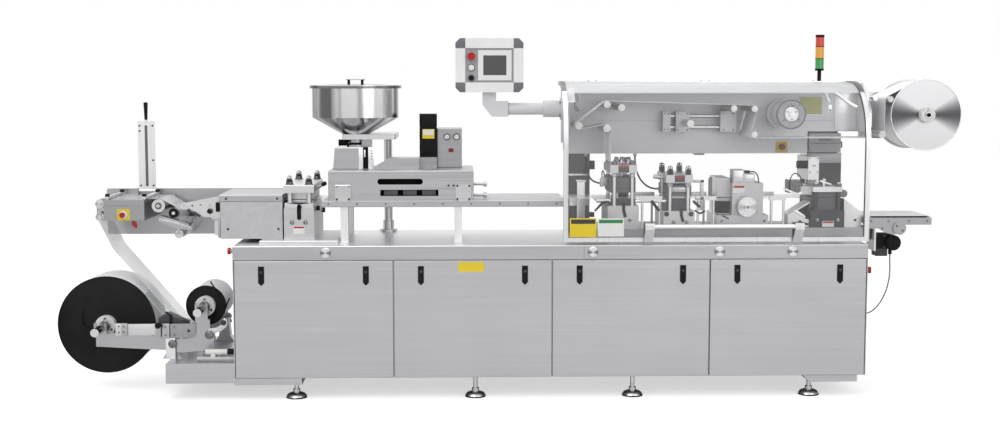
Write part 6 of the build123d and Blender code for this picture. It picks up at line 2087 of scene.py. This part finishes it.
@dataclass
class Conveyor:
    """Delivery conveyor with its gear motor."""

    front: float = 0.15

    def build(self) -> None:
        """Dresses the conveyor and adds its fittings."""
        Paintbox.coat("conveyor_frame", SHADED_STEEL)
        Paintbox.coat("conveyor_belt", BELT)
        Paintbox.coat(
            "conveyor_motor", BLACK, (DECK_STEEL, region((3.091, 0.14, 0.68), (3.1001, 0.3, 0.81))),
            (DARK_GREY, region((3.1, 0.14, 0.655), (3.17, 0.27, 0.6995))))
        places = [(3.213 + dx, 0.14, 0.802 + dz) for dx, dz in ((-0.015, 0.012), (0.015, -0.012))]
        Fastener(0.004, 0.003).fit("lobe_screws", DARK_GREY, places)
        places = [(x, self.front, z)
                  for x, z in ((3.075, 0.836), (3.16, 0.836), (3.262, 0.836), (3.35, 0.836), (3.13, 0.8))]
        Fastener(0.005, 0.003).fit("conveyor_screws", BOLT_STEEL, places)
        Bench.add("motor_cover", BLACK, Bench.disc(
            (3.188, 0.155, 0.729), ((0.034, 0.0), (0.034, 0.004), (0.028, 0.007), (0.01, 0.008)), 40))
        Fastener(0.0035, 0.003).fit("gear_screws", MID_GREY, [
            (x, 0.17, z) for x in (3.106, 3.148) for z in (0.708, 0.762)])


@dataclass(frozen=True)
class Cable:
    """A free cable between two glands, as a curve that stands for its CAD node."""

    name: str
    replaced: str
    radius: float
    length: float
    lay: str
    finish: Finish
    route: tuple[Place, ...]

    def build(self) -> None:
        cable = Bench.curve(self.name, self.route, self.radius, 6)
        cable.data.splines[0].resolution_u = 16
        cable.data.materials.append(Paintbox.get(self.finish))
        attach(cable, node("cabinet_body")["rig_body"])
        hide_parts(self.replaced)
        log.info("built %s", self.name)


CABLES = (
    Cable("heat_cable", "heat_seal_cable", 0.0045, 0.231, "hanging", BLACK_SHEATH,
          ((1.716, 0.550, 1.135), (1.716, 0.550, 1.112), (1.717, 0.541, 1.080), (1.722, 0.518, 1.048),
           (1.733, 0.486, 1.024), (1.751, 0.454, 1.010), (1.776, 0.428, 1.004), (1.796, 0.428, 1.004))),
    Cable("die_cable", "emboss_cable", 0.0045, 0.257, "hanging", BLACK_SHEATH,
          ((1.968, 0.550, 1.135), (1.968, 0.550, 1.108), (1.972, 0.538, 1.068), (1.984, 0.512, 1.029),
           (2.003, 0.480, 1.000), (2.026, 0.448, 0.983), (2.050, 0.428, 0.976), (2.070, 0.428, 0.976))),
    Cable("motor_cable", "conveyor_cable", 0.0035, 0.366, "hanging", GREY_WEAVE,
          ((3.180, 0.180, 0.671), (3.180, 0.180, 0.640), (3.182, 0.178, 0.597), (3.178, 0.174, 0.545),
           (3.162, 0.168, 0.488), (3.136, 0.161, 0.438), (3.106, 0.155, 0.404), (3.070, 0.150, 0.381),
           (3.034, 0.150, 0.381))),
)


@dataclass
class Studio:
    """Floor, world, lamps and camera."""

    camera_place: Place = (-0.249, -6.832, 1.5)
    camera_tilt: float = math.radians(84.5)
    camera_turn: float = math.radians(-1.67)
    lens: float = 49.8
    floor_size: float = 60.0
    lamps: tuple[tuple[str, Place, Place, float, float], ...] = (
        ("key", (-2.5, -4.5, 5.5), (0.0, 0.0, 0.6), 4.0, 150.0),
        ("fill", (3.5, -5.5, 3.0), (0.3, 0.0, 0.8), 4.0, 60.0),
        ("top", (0.0, 0.8, 5.0), (0.0, 0.0, 0.8), 5.0, 90.0))

    def build(self) -> None:
        """Sets up the whole studio."""
        self.world()
        self.floor()
        for name, place, aim, size, power in self.lamps:
            self.lamp(name, Vector(place), Vector(aim), size, power)
        self.camera()
        bpy.context.scene.view_settings.view_transform = "Standard"

    def world(self) -> None:
        """Pale even surroundings, white where they are seen or mirrored."""
        world = bpy.data.worlds.new("studio")
        bpy.context.scene.world = world
        world.use_nodes = True
        sheet = NodeSheet(world.node_tree)
        path = sheet.node("LightPath")
        seen = sheet.math("MAXIMUM", path["Is Camera Ray"], path["Is Transmission Ray"])
        either = sheet.math("MAXIMUM", seen, path["Is Glossy Ray"])
        strength = sheet.node("MapRange", {"Value": either, "To Min": 0.5, "To Max": 1.0})["Result"]
        sheet.feed(sheet.tree.nodes["Background"], {"Color": (1.0, 1.0, 1.0, 1.0), "Strength": strength})

    def floor(self) -> None:
        """White floor that keeps the machine's shadow."""
        bpy.ops.object.select_all(action="DESELECT")
        bpy.ops.mesh.primitive_plane_add(size=self.floor_size, location=(0.0, 0.0, 0.0))
        ground = bpy.context.object
        ground.name = "floor"
        sheet = MaterialSheet("floor_white")
        seen = sheet.node("LightPath")["Is Camera Ray"]
        sheet.set(Base_Color=(0.86, 0.86, 0.86, 1.0), Roughness=0.9, Specular_IOR_Level=0.1,
                  Emission_Color=(1.0, 1.0, 1.0, 1.0), Emission_Strength=sheet.math("MULTIPLY", seen, 0.55))
        ground.data.materials.append(sheet.material)

    def lamp(self, name: str, place: Vector, aim: Vector, size: float, power: float) -> None:
        """Adds a square area lamp that points at a place."""
        bpy.ops.object.light_add(type="AREA", location=place)
        lamp = bpy.context.object
        lamp.name = name
        lamp.data.size = size
        lamp.data.energy = power
        lamp.rotation_euler = (aim - place).to_track_quat("-Z", "Y").to_euler()

    def camera(self) -> None:
        """Adds the camera at the photograph's view."""
        bpy.ops.object.camera_add(location=self.camera_place,
                                  rotation=(self.camera_tilt, 0.0, self.camera_turn))
        camera = bpy.context.object
        camera.data.lens = self.lens
        camera.data.clip_end = 100.0
        bpy.context.scene.camera = camera


def main() -> None:
    """Builds the machine's looks piece by piece, then the studio."""
    for part in (Cabinet(), Unwind(), SpliceTable(), HeatingAndForming(), Feeder(), Housing(), Guard(),
                 Stations(), Traction(), Punch(), ControlPanel(), StackLight(), FoilReel(), Conveyor()):
        part.build()
    for cable in CABLES:
        cable.build()
    Studio().build()


if __name__ == "__main__":
    main()
